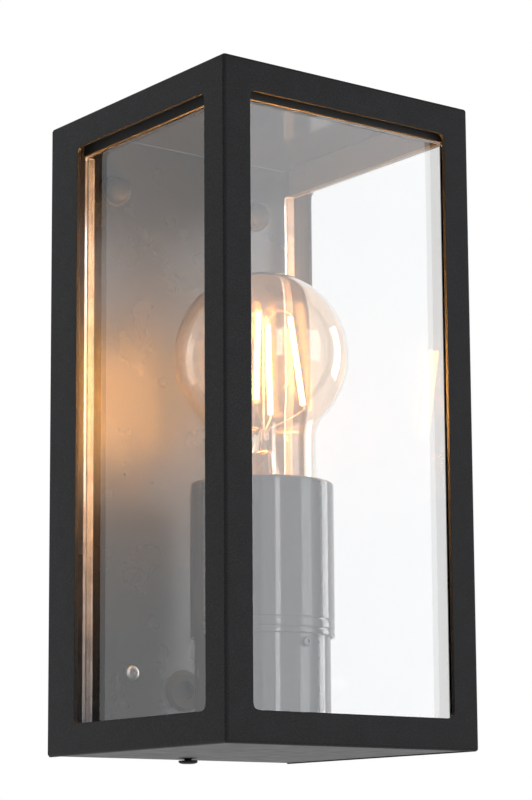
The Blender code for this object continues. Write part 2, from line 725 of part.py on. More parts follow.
def build_holder():
    """The base tube, the sleeve over it and the lamp holder inside."""
    centre = (0, LAMP_Y, 0)
    tube_inner = TUBE_RADIUS - TUBE_WALL
    flange_top = TUBE_BOTTOM + TUBE_WALL
    base_tube = turned(
        "base_tube",
        [
            (TUBE_RADIUS, TUBE_TOP),
            (TUBE_RADIUS, TUBE_BOTTOM),
            (TUBE_RADIUS - TUBE_FLANGE, TUBE_BOTTOM),
            (TUBE_RADIUS - TUBE_FLANGE, flange_top),
            (tube_inner, flange_top),
            (tube_inner, TUBE_TOP),
        ],
        "sleeve_paint",
        centre,
    )
    cable_hole = (0, LAMP_Y + TUBE_RADIUS, CABLE_Z)
    cut_round(base_tube, "tube_cable_hole", cable_hole, CABLE_RADIUS + HOLE_PLAY, 10 * MM, "Y")
    for name, side in (("left", -1), ("right", 1)):
        x = side * TUBE_SCREW_RADIUS
        cut_round(
            base_tube,
            f"tube_screw_hole_{name}",
            (x, LAMP_Y, TUBE_BOTTOM + TUBE_WALL / 2),
            SCREW_SHANK + HOLE_PLAY,
            4 * TUBE_WALL,
        )
        small_screw(
            f"tube_screw_{name}", (x, LAMP_Y, flange_top + GAP), TUBE_WALL + PLATE + 2 * GAP
        )
    turned(
        "holder_sleeve",
        tube_profile(SLEEVE_RADIUS, SLEEVE_RADIUS - SLEEVE_WALL, SLEEVE_TOP, SLEEVE_BOTTOM),
        "sleeve_paint",
        centre,
    )
    flat_plate(
        "holder_plate",
        [
            circle((0, 0), TUBE_RADIUS, ROUND_STEPS),
            circle((0, 0), NIPPLE_RADIUS + HOLE_PLAY),
            circle((-WIRE_X, 0), WIRE_RADIUS + HOLE_PLAY, 12),
            circle((WIRE_X, 0), WIRE_RADIUS + HOLE_PLAY, 12),
        ],
        HOLDER_PLATE,
        "zinc_steel",
        (0, LAMP_Y, HOLDER_PLATE_BOTTOM + HOLDER_PLATE / 2),
        FLAT,
    )
    nipple_bottom = NIPPLE_TOP - NIPPLE_LENGTH
    turned(
        "holder_nipple",
        tube_profile(NIPPLE_RADIUS, NIPPLE_BORE, NIPPLE_TOP, nipple_bottom),
        "zinc_steel",
        centre,
        SMALL_STEPS,
    )
    nut_top = HOLDER_PLATE_BOTTOM - GAP
    hexagon = 1 / math.cos(math.radians(30))
    turned(
        "nipple_nut",
        tube_profile(
            NUT_HALF_WIDTH * hexagon,
            (NIPPLE_RADIUS + HOLE_PLAY) * hexagon,
            nut_top,
            nut_top - NUT_HEIGHT,
        ),
        "zinc_steel",
        centre,
        6,
    )
    nipple_bore = NIPPLE_RADIUS + HOLE_PLAY
    turned(
        "holder_body",
        [
            (0, HOLDER_SEAT),
            (HOLDER_BORE, HOLDER_SEAT),
            (HOLDER_BORE, HOLDER_TOP),
            (HOLDER_RADIUS, HOLDER_TOP),
            (HOLDER_RADIUS, HOLDER_BOTTOM),
            (nipple_bore, HOLDER_BOTTOM),
            (nipple_bore, NIPPLE_TOP + GAP),
            (0, NIPPLE_TOP + GAP),
        ],
        "porcelain",
        centre,
    )
    turned(
        "holder_thread",
        tube_profile(
            SHELL_OUTER, SHELL_INNER, HOLDER_TOP - THREAD_RECESS, HOLDER_SEAT + THREAD_LIFT
        ),
        "brass",
        centre,
        24,
    )
    contact_top = LAMP_BOTTOM - GAP
    turned(
        "holder_contact",
        [
            (0, contact_top),
            (CONTACT_RADIUS * 0.9, contact_top),
            (CONTACT_RADIUS * 1.1, HOLDER_SEAT + GAP),
            (0, HOLDER_SEAT + GAP),
        ],
        "brass",
        centre,
        SMALL_STEPS,
    )
    turned(
        "sleeve_screw",
        [
            (0, GRUB_HEIGHT),
            (GRUB_RADIUS, GRUB_HEIGHT * 0.75),
            (GRUB_RADIUS, 0),
            (0, 0),
        ],
        "sleeve_paint",
        (0, LAMP_Y - TUBE_RADIUS - GAP, SLEEVE_BOTTOM - GRUB_DROP),
        SMALL_STEPS,
        FACING_FRONT,
    )


def build_wiring():
    """The terminal block in the base tube, its screws, and the leads up to the holder."""
    width, depth, height = TERMINAL_SIZE
    block_bottom = FLOOR_TOP + GAP
    block = add_part(
        "terminal_block",
        box_mesh(
            "terminal_block",
            (-width / 2, LAMP_Y - depth / 2, block_bottom),
            (width / 2, LAMP_Y + depth / 2, TERMINAL_TOP),
        ),
        "terminal_plastic",
    )
    screw_y = LAMP_Y - depth / 4
    wire_y = LAMP_Y + depth / 4
    shank_end = TERMINAL_RECESS + GAP - TERMINAL_HOLE_DEPTH
    for name, side, colour in (("live", -1, "live_wire"), ("neutral", 1, "neutral_wire")):
        x = side * TERMINAL_SCREW_X
        holes = (("screw", screw_y, TERMINAL_HEAD + GAP), ("wire", wire_y, WIRE_RADIUS + GAP))
        for what, y, radius in holes:
            centre = (x, y, TERMINAL_TOP)
            cut_round(block, f"terminal_{what}_hole_{name}", centre, radius, 2 * TERMINAL_HOLE_DEPTH)
        turned(
            f"terminal_screw_{name}",
            [
                (0, 0),
                (TERMINAL_HEAD, 0),
                (TERMINAL_HEAD, -TERMINAL_HEAD),
                (TERMINAL_SHANK, -TERMINAL_HEAD),
                (TERMINAL_SHANK, shank_end),
                (0, shank_end),
            ],
            "brass",
            (x, screw_y, TERMINAL_TOP - TERMINAL_RECESS),
            12,
        )
        stops = [
            (x, wire_y, TERMINAL_TOP - 3 * MM),
            (x, wire_y, TERMINAL_TOP),
            (x, wire_y, TERMINAL_TOP + 3 * MM),
            (side * (WIRE_X + 4 * MM), wire_y + 1 * MM, TERMINAL_TOP + 17 * MM),
            (side * WIRE_X, LAMP_Y, HOLDER_PLATE_BOTTOM - 5 * MM),
            (side * WIRE_X, LAMP_Y, HOLDER_BOTTOM - GAP),
        ]
        wire(f"{name}_lead", smooth_route(stops, ROUTE_STEPS), WIRE_RADIUS, colour)


def quadratic(start, bend, end):
    """Return points on a curve from start to end that leans towards bend, without its start."""
    start, bend, end = Vector(start), Vector(bend), Vector(end)
    points = []
    for k in range(1, CURVE_STEPS + 1):
        t = k / CURVE_STEPS
        points.append(tuple(start * (1 - t) ** 2 + bend * 2 * t * (1 - t) + end * t**2))
    return points


def lamp_outline(inset):
    """Return the bulb's profile from crown to mouth, drawn in by the glass thickness."""
    radius = LAMP_RADIUS - inset
    widest = LAMP_TOP - LAMP_RADIUS
    neck = LAMP_NECK - inset
    globe = [
        (radius * math.sin(a), widest + radius * math.cos(a))
        for a in (math.radians(GLOBE_END * k / GLOBE_STEPS) for k in range(GLOBE_STEPS + 1))
    ]
    edge_r, edge_z = globe[-1]
    throat = quadratic(globe[-1], (neck, edge_z - (edge_r - neck)), (neck, NECK_TOP))
    mouth = (LAMP_MOUTH - inset, CAP_TOP + GAP)
    shoulder = quadratic((neck, NECK_BOTTOM), (neck, (NECK_BOTTOM + CAP_TOP) / 2), mouth)
    return [*globe, *throat, (neck, NECK_BOTTOM), *shoulder]


def build_lamp():
    """The filament lamp: glass, stem, filaments and their supports, and the E27 cap."""
    centre = (0, LAMP_Y, 0)
    outer = lamp_outline(0)
    inner = lamp_outline(LAMP_GLASS)
    turned("lamp_glass", outer + inner[::-1], "lamp_glass", centre, ROUND_STEPS, parent=LAMP_AXIS)
    turned(
        "lamp_stem",
        [
            (0, STEM_TOP),
            (STEM_RADIUS * 0.8, STEM_TOP - STEM_RADIUS * 0.3),
            (STEM_RADIUS, STEM_TOP - STEM_RADIUS),
            (STEM_RADIUS, STEM_WAIST),
            (STEM_FLARE, NECK_BOTTOM),
            (0, NECK_BOTTOM),
        ],
        "lamp_glass",
        centre,
        SMALL_STEPS,
        parent=LAMP_AXIS,
    )
    for k, name in enumerate(("right", "front", "left", "rear")):
        turn = math.radians(FILAMENT_TURN - 90 * k)
        spread = Vector((math.cos(turn), math.sin(turn), 0))
        axis = Vector(centre)
        low = axis + spread * FILAMENT_SPREAD_BOTTOM + Vector((0, 0, FILAMENT_BOTTOM))
        high = axis + spread * FILAMENT_SPREAD_TOP + Vector((0, 0, FILAMENT_TOP))
        wire(f"filament_{name}", [low, high], FILAMENT_RADIUS, "filament", LAMP_AXIS)
    half_ring = RING_THICKNESS / 2
    for name, z, reach in (
        ("upper", FILAMENT_TOP + RING_OFFSET, FILAMENT_SPREAD_TOP),
        ("lower", FILAMENT_BOTTOM - RING_OFFSET, FILAMENT_SPREAD_BOTTOM),
    ):
        turned(
            f"filament_ring_{name}",
            tube_profile(reach, reach - RING_THICKNESS, z + half_ring, z - half_ring),
            "lamp_metal",
            centre,
            24,
            parent=LAMP_AXIS,
        )
    cap_bottom = CAP_TOP - CAP_HEIGHT
    turned(
        "lamp_cap",
        tube_profile(CAP_RADIUS, CAP_RADIUS - CAP_WALL, CAP_TOP, cap_bottom),
        "lamp_metal",
        centre,
        24,
        parent=LAMP_AXIS,
    )
    insulator_top = cap_bottom - GAP
    contact_top = LAMP_BOTTOM + CONTACT_HEIGHT
    insulator_bottom = contact_top + GAP
    turned(
        "lamp_insulator",
        [
            (0, insulator_top),
            (CAP_RADIUS - CAP_WALL, insulator_top),
            (CONTACT_RADIUS, insulator_bottom),
            (0, insulator_bottom),
        ],
        "lamp_insulator",
        centre,
        24,
        parent=LAMP_AXIS,
    )
    turned(
        "lamp_contact",
        [
            (0, contact_top),
            (CONTACT_RADIUS, contact_top),
            (CONTACT_RADIUS * 0.8, LAMP_BOTTOM),
            (0, LAMP_BOTTOM),
        ],
        "lamp_metal",
        centre,
        SMALL_STEPS,
        parent=LAMP_AXIS,
    )


def shade_smooth():
    """Smooth the round meshes, keeping edges over the smooth angle sharp."""
    for piece in PARTS.objects:
        if piece.type == "MESH" and piece.data.polygons:
            piece.data.shade_smooth()
            piece.data.set_sharp_from_angle(angle=SMOOTH_ANGLE)


build_cage()
build_shade()
build_lock_screw()
build_wall_bracket()
build_chassis()
build_holder()
build_wiring()
build_lamp()
shade_smooth()
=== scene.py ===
"""Looks of an outdoor wall lantern: a welded black cage with clear panes round a filament lamp.

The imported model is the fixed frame, and every place comes from its boxes. Metres, +Z up: the wall
is the plane Y = 0 and the lantern stands out along -Y. Each class below is one sub-assembly. It
holds its own sizes, makes its meshes with bmesh operators and gives each of them its finish.
"""

import logging
import math
from collections.abc import Callable, Iterable, Sequence
from dataclasses import dataclass, field
from enum import Enum

import bmesh
import bpy
from mathutils import Matrix, Vector


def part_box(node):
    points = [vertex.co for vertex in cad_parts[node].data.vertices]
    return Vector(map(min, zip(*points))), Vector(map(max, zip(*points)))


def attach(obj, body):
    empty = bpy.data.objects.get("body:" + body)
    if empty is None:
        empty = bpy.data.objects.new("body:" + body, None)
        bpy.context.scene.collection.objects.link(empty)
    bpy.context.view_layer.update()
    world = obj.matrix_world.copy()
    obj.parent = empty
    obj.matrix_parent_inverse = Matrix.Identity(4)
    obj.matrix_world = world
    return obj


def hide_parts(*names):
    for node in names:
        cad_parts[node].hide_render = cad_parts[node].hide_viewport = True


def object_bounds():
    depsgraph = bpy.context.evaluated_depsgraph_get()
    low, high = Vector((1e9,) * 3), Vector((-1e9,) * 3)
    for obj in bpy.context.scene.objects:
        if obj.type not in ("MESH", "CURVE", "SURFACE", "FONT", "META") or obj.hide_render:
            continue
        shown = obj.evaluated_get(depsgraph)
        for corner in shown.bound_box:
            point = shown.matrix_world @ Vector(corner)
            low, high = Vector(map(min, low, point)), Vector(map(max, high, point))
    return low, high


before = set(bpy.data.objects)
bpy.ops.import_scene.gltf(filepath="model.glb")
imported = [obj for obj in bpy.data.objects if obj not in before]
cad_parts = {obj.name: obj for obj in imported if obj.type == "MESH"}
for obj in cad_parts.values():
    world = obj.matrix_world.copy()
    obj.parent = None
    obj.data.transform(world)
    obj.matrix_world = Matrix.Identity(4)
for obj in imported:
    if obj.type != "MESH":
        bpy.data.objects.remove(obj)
CAD_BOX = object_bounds()

logging.basicConfig(level=logging.INFO, format="%(name)s: %(message)s")
LOG = logging.getLogger("wall_lantern")

MM = 0.001
WELD = 1e-6
NEAR = 10 * WELD
HARD_EDGE = 60
FULL_TURN = 2 * math.pi
SHARP_ANGLE = math.radians(50)
WAVE_PER_GRAIN = 14
MOTTLE_PER_GRAIN = 9
FINE_STEPS = 96
ROUND_STEPS = 48
SMALL_STEPS = 24
HOLE_STEPS = 20
WIRE_STEPS = 8
GLINT_STOPS = (0.46, 0.72)
SOFT_STOPS = (0.35, 0.7)
EVEN_STOPS = (0.35, 0.65)
WIDE_STOPS = (0.15, 0.85)
BEAD_STOPS = (0.4, 0.6)

Profile = Sequence[tuple[float, float]]
Edges = list[bmesh.types.BMEdge]
Verts = list[bmesh.types.BMVert]
Geometry = Sequence[bmesh.types.BMVert | bmesh.types.BMEdge | bmesh.types.BMFace]
Colour = tuple[float, float, float]
Socket = bpy.types.NodeSocket


class Body(Enum):
    """The moving bodies of the lantern."""

    CHASSIS = "chassis"
    CAGE = "cage"
    LOCK_SCREW = "lock_screw"
    LAMP = "lamp"


class Axis(Enum):
    """The direction that a turned piece's own height is laid along."""

    UP = "up"
    OUT = "out"


class Graph:
    """One material's node tree, with short calls that add nodes and join them."""

    def __init__(self, name: str) -> None:
        """Start a material with its Principled shader.

        Args:
            name: The material's name.
        """
        self.material = bpy.data.materials.new(name)
        self.material.use_nodes = True
        self.tree = self.material.node_tree
        self.shader = self.tree.nodes["Principled BSDF"]
        self.place = self.tree.nodes.new("ShaderNodeTexCoord").outputs["Object"]

    def add(self, kind: str, **settings: object) -> bpy.types.Node:
        """Add a node.

        Args:
            kind: The node's type, without its ShaderNode prefix.
            **settings: Attributes to set on the node.

        Returns:
            The new node.
        """
        node = self.tree.nodes.new(f"ShaderNode{kind}")
        for key, value in settings.items():
            setattr(node, key, value)
        return node

    def join(self, source: Socket, target: Socket) -> None:
        """Link one socket to another."""
        self.tree.links.new(source, target)

    def stretched(self, scale: tuple[float, float, float]) -> Socket:
        """Return the object's coordinates, scaled along each axis."""
        mapping = self.add("Mapping")
        mapping.inputs["Scale"].default_value = scale
        self.join(self.place, mapping.inputs["Vector"])
        return mapping.outputs["Vector"]

    def noise(
        self, size: float, detail: float = 2.0, place: Socket | None = None, rough: float = 0.5
    ) -> Socket:
        """Add a noise pattern.

        Args:
            size: The size of one patch, in metres.
            detail: How many finer layers are added.
            place: The coordinates to read, or the object's own.
            rough: How strong the finer layers are.

        Returns:
            The pattern's value.
        """
        node = self.add("TexNoise")
        node.inputs["Scale"].default_value = 1 / size
        node.inputs["Detail"].default_value = detail
        node.inputs["Roughness"].default_value = rough
        self.join(place or self.place, node.inputs["Vector"])
        return node.outputs["Fac"]

    def cells(self, size: float) -> Socket:
        """Return a random value for each crystal-like cell of the given size."""
        node = self.add("TexVoronoi")
        node.inputs["Scale"].default_value = 1 / size
        self.join(self.place, node.inputs["Vector"])
        split = self.add("SeparateColor")
        self.join(node.outputs["Color"], split.inputs["Color"])
        return split.outputs["Red"]

    def shades(self, value: Socket, low: Colour, high: Colour, start: float, end: float) -> Socket:
        """Turn a value into a colour between two shades.

        Args:
            value: The value to read.
            low: The colour at and below start.
            high: The colour at and above end.
            start: The value where the change begins.
            end: The value where it is complete.

        Returns:
            The colour.
        """
        ramp = self.add("ValToRGB")
        first, last = ramp.color_ramp.elements
        first.position, last.position = start, end
        first.color, last.color = (*low, 1.0), (*high, 1.0)
        self.join(value, ramp.inputs["Fac"])
        return ramp.outputs["Color"]

    def span(
        self, value: Socket, low: float, high: float, start: float = 0.3, end: float = 0.7
    ) -> Socket:
        """Map the middle of a value's range onto low to high."""
        node = self.add("MapRange")
        for key, number in (
            ("From Min", start),
            ("From Max", end),
            ("To Min", low),
            ("To Max", high),
        ):
            node.inputs[key].default_value = number
        self.join(value, node.inputs["Value"])
        return node.outputs["Result"]

    def bump(self, height: Socket, depth: float, strength: float, under: Socket | None = None) -> Socket:
        """Add a bump.

        Args:
            height: The pattern that stands up.
            depth: How far it stands up, in metres.
            strength: How much of it shows.
            under: A coarser bump that this one lies on.

        Returns:
            The bumped normal.
        """
        node = self.add("Bump")
        node.inputs["Distance"].default_value = depth
        node.inputs["Strength"].default_value = strength
        self.join(height, node.inputs["Height"])
        if under is not None:
            self.join(under, node.inputs["Normal"])
        return node.outputs["Normal"]

    def set(self, **values: float | tuple[float, ...]) -> None:
        """Set the shader's own sockets, whose names are written with underscores."""
        for key, value in values.items():
            self.shader.inputs[key.replace("_", " ")].default_value = value

    def feed(self, **sockets: Socket) -> None:
        """Join sockets to the shader's own, whose names are written with underscores."""
        for key, source in sockets.items():
            self.join(source, self.shader.inputs[key.replace("_", " ")])


@dataclass(frozen=True)
class TexturedPaint:
    """Black powder coat or stoved paint: a fine grain on a slow wave, with small painted glints, a
    lighter colour on the grain's peaks that stands in for highlights.
    """

    name: str
    colour: Colour
    painted_glint: Colour
    grain: float
    roughness: tuple[float, float]
    specular: float
    grain_depth: float = 0.0
    grain_strength: float = 0.0
    wave_depth: float = 1.5
    wave_strength: float = 0.25

    def build(self) -> bpy.types.Material:
        """Return the paint as a material."""
        graph = Graph(self.name)
        grain = graph.noise(self.grain, 3.0, rough=0.6)
        wave = graph.noise(self.grain * WAVE_PER_GRAIN, 2.0)
        # Painted glint: the colour turns lighter where the grain stands up, in place of highlights.
        graph.feed(
            Base_Color=graph.shades(grain, self.colour, self.painted_glint, *GLINT_STOPS),
            Roughness=graph.span(wave, *self.roughness),
        )
        if self.grain_depth:
            slow = graph.bump(wave, self.grain_depth * self.wave_depth, self.wave_strength)
            graph.feed(Normal=graph.bump(grain, self.grain_depth, self.grain_strength, slow))
        graph.set(Specular_IOR_Level=self.specular)
        return graph.material


@dataclass(frozen=True)
class ClearPlastic:
    """Clear moulded pane or blown glass, with a slow drift in its tint."""

    name: str
    tint: Colour
    second: Colour
    ior: float
    patch: float = 0.02

    def build(self) -> bpy.types.Material:
        """Return the clear material."""
        graph = Graph(self.name)
        slow = graph.noise(self.patch, 2.0)
        graph.feed(Base_Color=graph.shades(slow, self.tint, self.second, *SOFT_STOPS))
        graph.set(Transmission_Weight=1.0, IOR=self.ior, Roughness=0.0)
        return graph.material


@dataclass(frozen=True)
class ThinFilm:
    """A coating so thin that most light passes it straight, and the rest is spread."""

    name: str
    tint: Colour
    cover: float
    roughness: float
    patch: float = 0.012
    darker: float = 0.9
    ior: float = 1.35

    def build(self) -> bpy.types.Material:
        """Return the coating as a material."""
        graph = Graph(self.name)
        slow = graph.noise(self.patch, 3.0)
        shade = tuple(self.darker * part for part in self.tint)
        graph.feed(
            Base_Color=graph.shades(slow, self.tint, shade, *EVEN_STOPS),
            Roughness=graph.span(slow, self.roughness * self.darker, self.roughness),
        )
        graph.set(Transmission_Weight=1.0, IOR=self.ior, Alpha=self.cover)
        return graph.material


@dataclass(frozen=True)
class FrostedEdgePaintedLight:
    """The edge of a clear pane, frosted and given a near-white colour: the near-white colour is painted
    light, standing in for light carried along inside the clear edge.
    """

    name: str
    colour: Colour
    second: Colour
    clearness: float
    roughness: tuple[float, float]
    patch: float = 6 * MM
    ripple: float = 0.6 * MM
    ripple_depth: float = 1e-5
    ior: float = 1.3

    def build(self) -> bpy.types.Material:
        """Return the frosted material."""
        graph = Graph(self.name)
        slow = graph.noise(self.patch, 3.0)
        # Painted light: the near-white colour makes the clear edge look lit from within.
        graph.feed(
            Base_Color=graph.shades(slow, self.colour, self.second, *EVEN_STOPS),
            Roughness=graph.span(slow, *self.roughness),
            Normal=graph.bump(graph.noise(self.ripple, 2.0), self.ripple_depth, 0.3),
        )
        graph.set(Transmission_Weight=self.clearness, IOR=self.ior)
        return graph.material


@dataclass(frozen=True)
class WornMetal:
    """Plated or drawn metal: crystal flecks or fine lines, and uneven dullness."""

    name: str
    colour: Colour
    second: Colour
    roughness: tuple[float, float]
    fleck: float
    drawn: tuple[float, float, float] = (1.0, 1.0, 1.0)
    depth: float = 4e-6

    def build(self) -> bpy.types.Material:
        """Return the metal as a material."""
        graph = Graph(self.name)
        lines = graph.noise(self.fleck / 3, 3.0, graph.stretched(self.drawn))
        mixed = graph.add("Math", operation="MULTIPLY_ADD")
        mixed.inputs[1].default_value = 0.5
        graph.join(graph.cells(self.fleck), mixed.inputs[0])
        graph.join(graph.span(lines, 0.0, 0.5), mixed.inputs[2])
        value = mixed.outputs["Value"]
        graph.feed(
            Base_Color=graph.shades(value, self.colour, self.second, *WIDE_STOPS),
            Roughness=graph.span(value, *self.roughness, 0.1, 0.9),
            Normal=graph.bump(lines, self.depth, 0.4),
        )
        graph.set(Metallic=1.0)
        return graph.material


@dataclass(frozen=True)
class Moulded:
    """Rubber, plastic, glazed china or dark glass: a soft mottle and a slight skin."""

    name: str
    colour: Colour
    second: Colour
    roughness: tuple[float, float]
    grain: float
    depth: float
    gloss: float = 0.0
    own_light: float = 0.0
    strength: float = 0.35
    gloss_roughness: float = 0.08

    def build(self) -> bpy.types.Material:
        """Return the moulded material."""
        graph = Graph(self.name)
        grain = graph.noise(self.grain, 3.0)
        slow = graph.noise(self.grain * MOTTLE_PER_GRAIN, 2.0)
        graph.feed(
            Base_Color=graph.shades(slow, self.colour, self.second, *SOFT_STOPS),
            Roughness=graph.span(slow, *self.roughness),
            Normal=graph.bump(grain, self.depth, self.strength),
        )
        graph.set(Coat_Weight=self.gloss, Coat_Roughness=self.gloss_roughness)
        graph.set(Emission_Color=(1.0, 1.0, 1.0, 1.0), Emission_Strength=self.own_light)
        return graph.material


@dataclass(frozen=True)
class Glowing:
    """The phosphor skin of a lit filament."""

    name: str
    colour: Colour
    glow: Colour
    second_glow: Colour
    strength: float
    bead: float = 0.9 * MM

    def build(self) -> bpy.types.Material:
        """Return the glowing material."""
        graph = Graph(self.name)
        bead = graph.noise(self.bead, 2.0)
        graph.feed(
            Emission_Color=graph.shades(bead, self.glow, self.second_glow, *BEAD_STOPS),
            Roughness=graph.span(bead, 0.35, 0.5),
        )
        graph.set(Base_Color=(*self.colour, 1.0), Emission_Strength=self.strength)
        return graph.material


Finish = TexturedPaint | ClearPlastic | ThinFilm | FrostedEdgePaintedLight | WornMetal | Moulded | Glowing


class Coat(Enum):
    """Every finish on the lantern, and the slot of the record that it belongs to."""

    CAGE = "cage_paint"
    PLATE = "plate_paint"
    SLEEVE = "sleeve_paint"
    PANE = "clear_shade"
    RUBBER = "black_rubber"
    ZINC = "zinc_steel"
    PORCELAIN = "porcelain"
    BRASS = "brass"
    TERMINAL = "terminal_plastic"
    LIVE = "live_wire"
    NEUTRAL = "neutral_wire"
    BULB = "lamp_glass"
    FILAMENT = "filament"
    LAMP_METAL = "lamp_metal"
    INSULATOR = "lamp_insulator"


# In each TexturedPaint the second colour is a painted glint: lighter specks on the grain's peaks that
# stand in for highlights.
FINISHES: dict[Coat, Finish] = {
    Coat.CAGE: TexturedPaint(
        "powder_coat_black",
        (0.013, 0.013, 0.0138),
        (0.03, 0.03, 0.031),
        0.42 * MM,
        (0.33, 0.4),
        0.09,
        0.03 * MM,
        0.4,
    ),
    Coat.PLATE: TexturedPaint(
        "plate_lacquer_black",
        (0.012, 0.012, 0.0125),
        (0.014, 0.014, 0.0145),
        0.9 * MM,
        (0.25, 0.28),
        0.5,
    ),
    Coat.SLEEVE: TexturedPaint(
        "sleeve_lacquer_black",
        (0.02, 0.02, 0.021),
        (0.026, 0.026, 0.027),
        0.8 * MM,
        (0.06, 0.08),
        0.45,
    ),
    Coat.PANE: ClearPlastic(
        "clear_pane", (0.995, 0.996, 0.995), (0.99, 0.993, 0.992), 1.49
    ),
    Coat.RUBBER: Moulded(
        "rubber_black", (0.012, 0.012, 0.012), (0.02, 0.02, 0.02), (0.7, 0.85), 0.5 * MM, 3e-5
    ),
    Coat.ZINC: WornMetal(
        "zinc_plated_steel", (0.56, 0.56, 0.55), (0.68, 0.68, 0.66), (0.28, 0.44), 1.4 * MM
    ),
    Coat.PORCELAIN: Moulded(
        "glazed_porcelain",
        (0.8, 0.78, 0.73),
        (0.84, 0.82, 0.78),
        (0.2, 0.3),
        1.2 * MM,
        1.5e-5,
        0.6,
    ),
    Coat.BRASS: WornMetal(
        "bright_brass", (0.72, 0.5, 0.2), (0.8, 0.6, 0.28), (0.2, 0.34), 1 * MM, (1, 1, 9)
    ),
    Coat.TERMINAL: Moulded(
        "terminal_nylon", (0.76, 0.75, 0.69), (0.8, 0.79, 0.74), (0.4, 0.5), 0.5 * MM, 1e-5
    ),
    Coat.LIVE: Moulded(
        "lead_brown", (0.16, 0.06, 0.025), (0.2, 0.075, 0.03), (0.38, 0.48), 0.6 * MM, 1e-5
    ),
    Coat.NEUTRAL: Moulded(
        "lead_blue", (0.03, 0.1, 0.36), (0.04, 0.13, 0.44), (0.38, 0.48), 0.6 * MM, 1e-5
    ),
    Coat.BULB: ClearPlastic(
        "amber_bulb_glass", (0.94, 0.875, 0.79), (0.935, 0.86, 0.765), 1.5
    ),
    Coat.FILAMENT: Glowing(
        "filament_phosphor", (0.9, 0.6, 0.2), (1.0, 0.42, 0.08), (1.0, 0.46, 0.11), 500.0
    ),
    Coat.LAMP_METAL: WornMetal(
        "nickel_plate", (0.66, 0.65, 0.62), (0.74, 0.73, 0.7), (0.18, 0.3), 0.9 * MM, (1, 1, 7)
    ),
    Coat.INSULATOR: Moulded(
        "dark_bead_glass", (0.012, 0.011, 0.016), (0.02, 0.018, 0.026), (0.1, 0.2), 1 * MM, 1e-5, 0.5
    ),
}

# Its second colour is a painted glint, as in the other textured paints.
ROOF_LINING = TexturedPaint(
    "powder_coat_inside",
    (0.012, 0.012, 0.0125),
    (0.015, 0.015, 0.0155),
    0.5 * MM,
    (0.1, 0.14),
    0.35,
)
BULB_FILM = ThinFilm("bulb_film", (1.0, 0.82, 0.6), 0.05, 0.24)
# Painted light on the shade's rear rim: a near-white colour in place of light carried along inside the
# clear lip.
PANE_RIM_PAINTED_LIGHT = FrostedEdgePaintedLight("frosted_rim_painted_light", (0.93, 0.93, 0.96), (0.6, 0.6, 0.63), 0.8, (0.08, 0.2))
PANE_BEND = ClearPlastic("clear_pane_bend", (0.995, 0.996, 0.995), (0.99, 0.993, 0.992), 1.04)
FLOOR_FINISH = Moulded(
    "studio_floor", (0.78, 0.78, 0.775), (0.8, 0.8, 0.795), (0.6, 0.75), 4 * MM, 2e-5, own_light=0.42
)


class Workshop:
    """Turns each finished bmesh into a named piece with its finish and body."""

    def __init__(self) -> None:
        """Build every finish once."""
        self.materials = {coat: finish.build() for coat, finish in FINISHES.items()}
        self.film = BULB_FILM.build()
        self.roof_lining = ROOF_LINING.build()
        self.painted_rim_light = PANE_RIM_PAINTED_LIGHT.build()
        self.pane_bend = PANE_BEND.build()

    def piece(
        self,
        shape: bmesh.types.BMesh,
        name: str,
        coat: Coat,
        body: Body,
        replaced: Iterable[str] = (),
        material: bpy.types.Material | None = None,
    ) -> bpy.types.Object:
        """Make one piece from its bmesh.

        Args:
            shape: The finished shape, in place. It is freed here.
            name: The piece's name.
            coat: The piece's finish.
            body: The body that carries it.
            replaced: The frame's nodes that it stands for.
            material: A material to use in place of the coat's own.

        Returns:
            The new object.
        """
        mesh = bpy.data.meshes.new(name)
        shape.to_mesh(mesh)
        shape.free()
        mesh.materials.append(material or self.materials[coat])
        mesh.shade_smooth()
        mesh.set_sharp_from_angle(angle=SHARP_ANGLE)
        item = bpy.data.objects.new(name, mesh)
        bpy.context.scene.collection.objects.link(item)
        even = item.modifiers.new("even_shading", "WEIGHTED_NORMAL")
        even.keep_sharp = True
        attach(item, body.value)
        if replaced:
            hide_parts(*replaced)
        LOG.info("%s: %d faces on %s", name, len(mesh.polygons), body.value)
        return item


def verts_in(geom: Geometry) -> Verts:
    """Return the vertices among what a mesh tool made."""
    return [item for item in geom if isinstance(item, bmesh.types.BMVert)]


def edges_between(geom: Geometry, points: Verts) -> Edges:
    """Return the edges among what a mesh tool made that join the given points."""
    return [
        item
        for item in geom
        if isinstance(item, bmesh.types.BMEdge) and all(end in points for end in item.verts)
    ]


def clean(shape: bmesh.types.BMesh) -> None:
    """Merge doubles and turn every face outwards."""
    bmesh.ops.remove_doubles(shape, verts=shape.verts, dist=WELD)
    bmesh.ops.dissolve_degenerate(shape, edges=shape.edges, dist=WELD)
    bmesh.ops.recalc_face_normals(shape, faces=shape.faces)


def soften(
    shape: bmesh.types.BMesh,
    width: float,
    segments: int = 2,
    least: float = 40.0,
    where: Callable[[bmesh.types.BMEdge], bool] | None = None,
) -> None:
    """Round the sharp edges of a shape.

    Args:
        shape: The closed shape.
        width: The width of the rounding, in metres.
        segments: How many faces run round it.
        least: The smallest angle that counts as sharp, in degrees.
        where: A test that an edge must also pass.
    """
    least = math.radians(least)
    sharp = [
        edge
        for edge in shape.edges
        if len(edge.link_faces) == 2
        and edge.calc_face_angle(0) > least
        and (where is None or where(edge))
    ]
    bmesh.ops.bevel(
        shape,
        geom=sharp,
        offset=width,
        offset_type="OFFSET",
        affect="EDGES",
        segments=segments,
        profile=0.5,
        material=-1,
        clamp_overlap=True,
    )


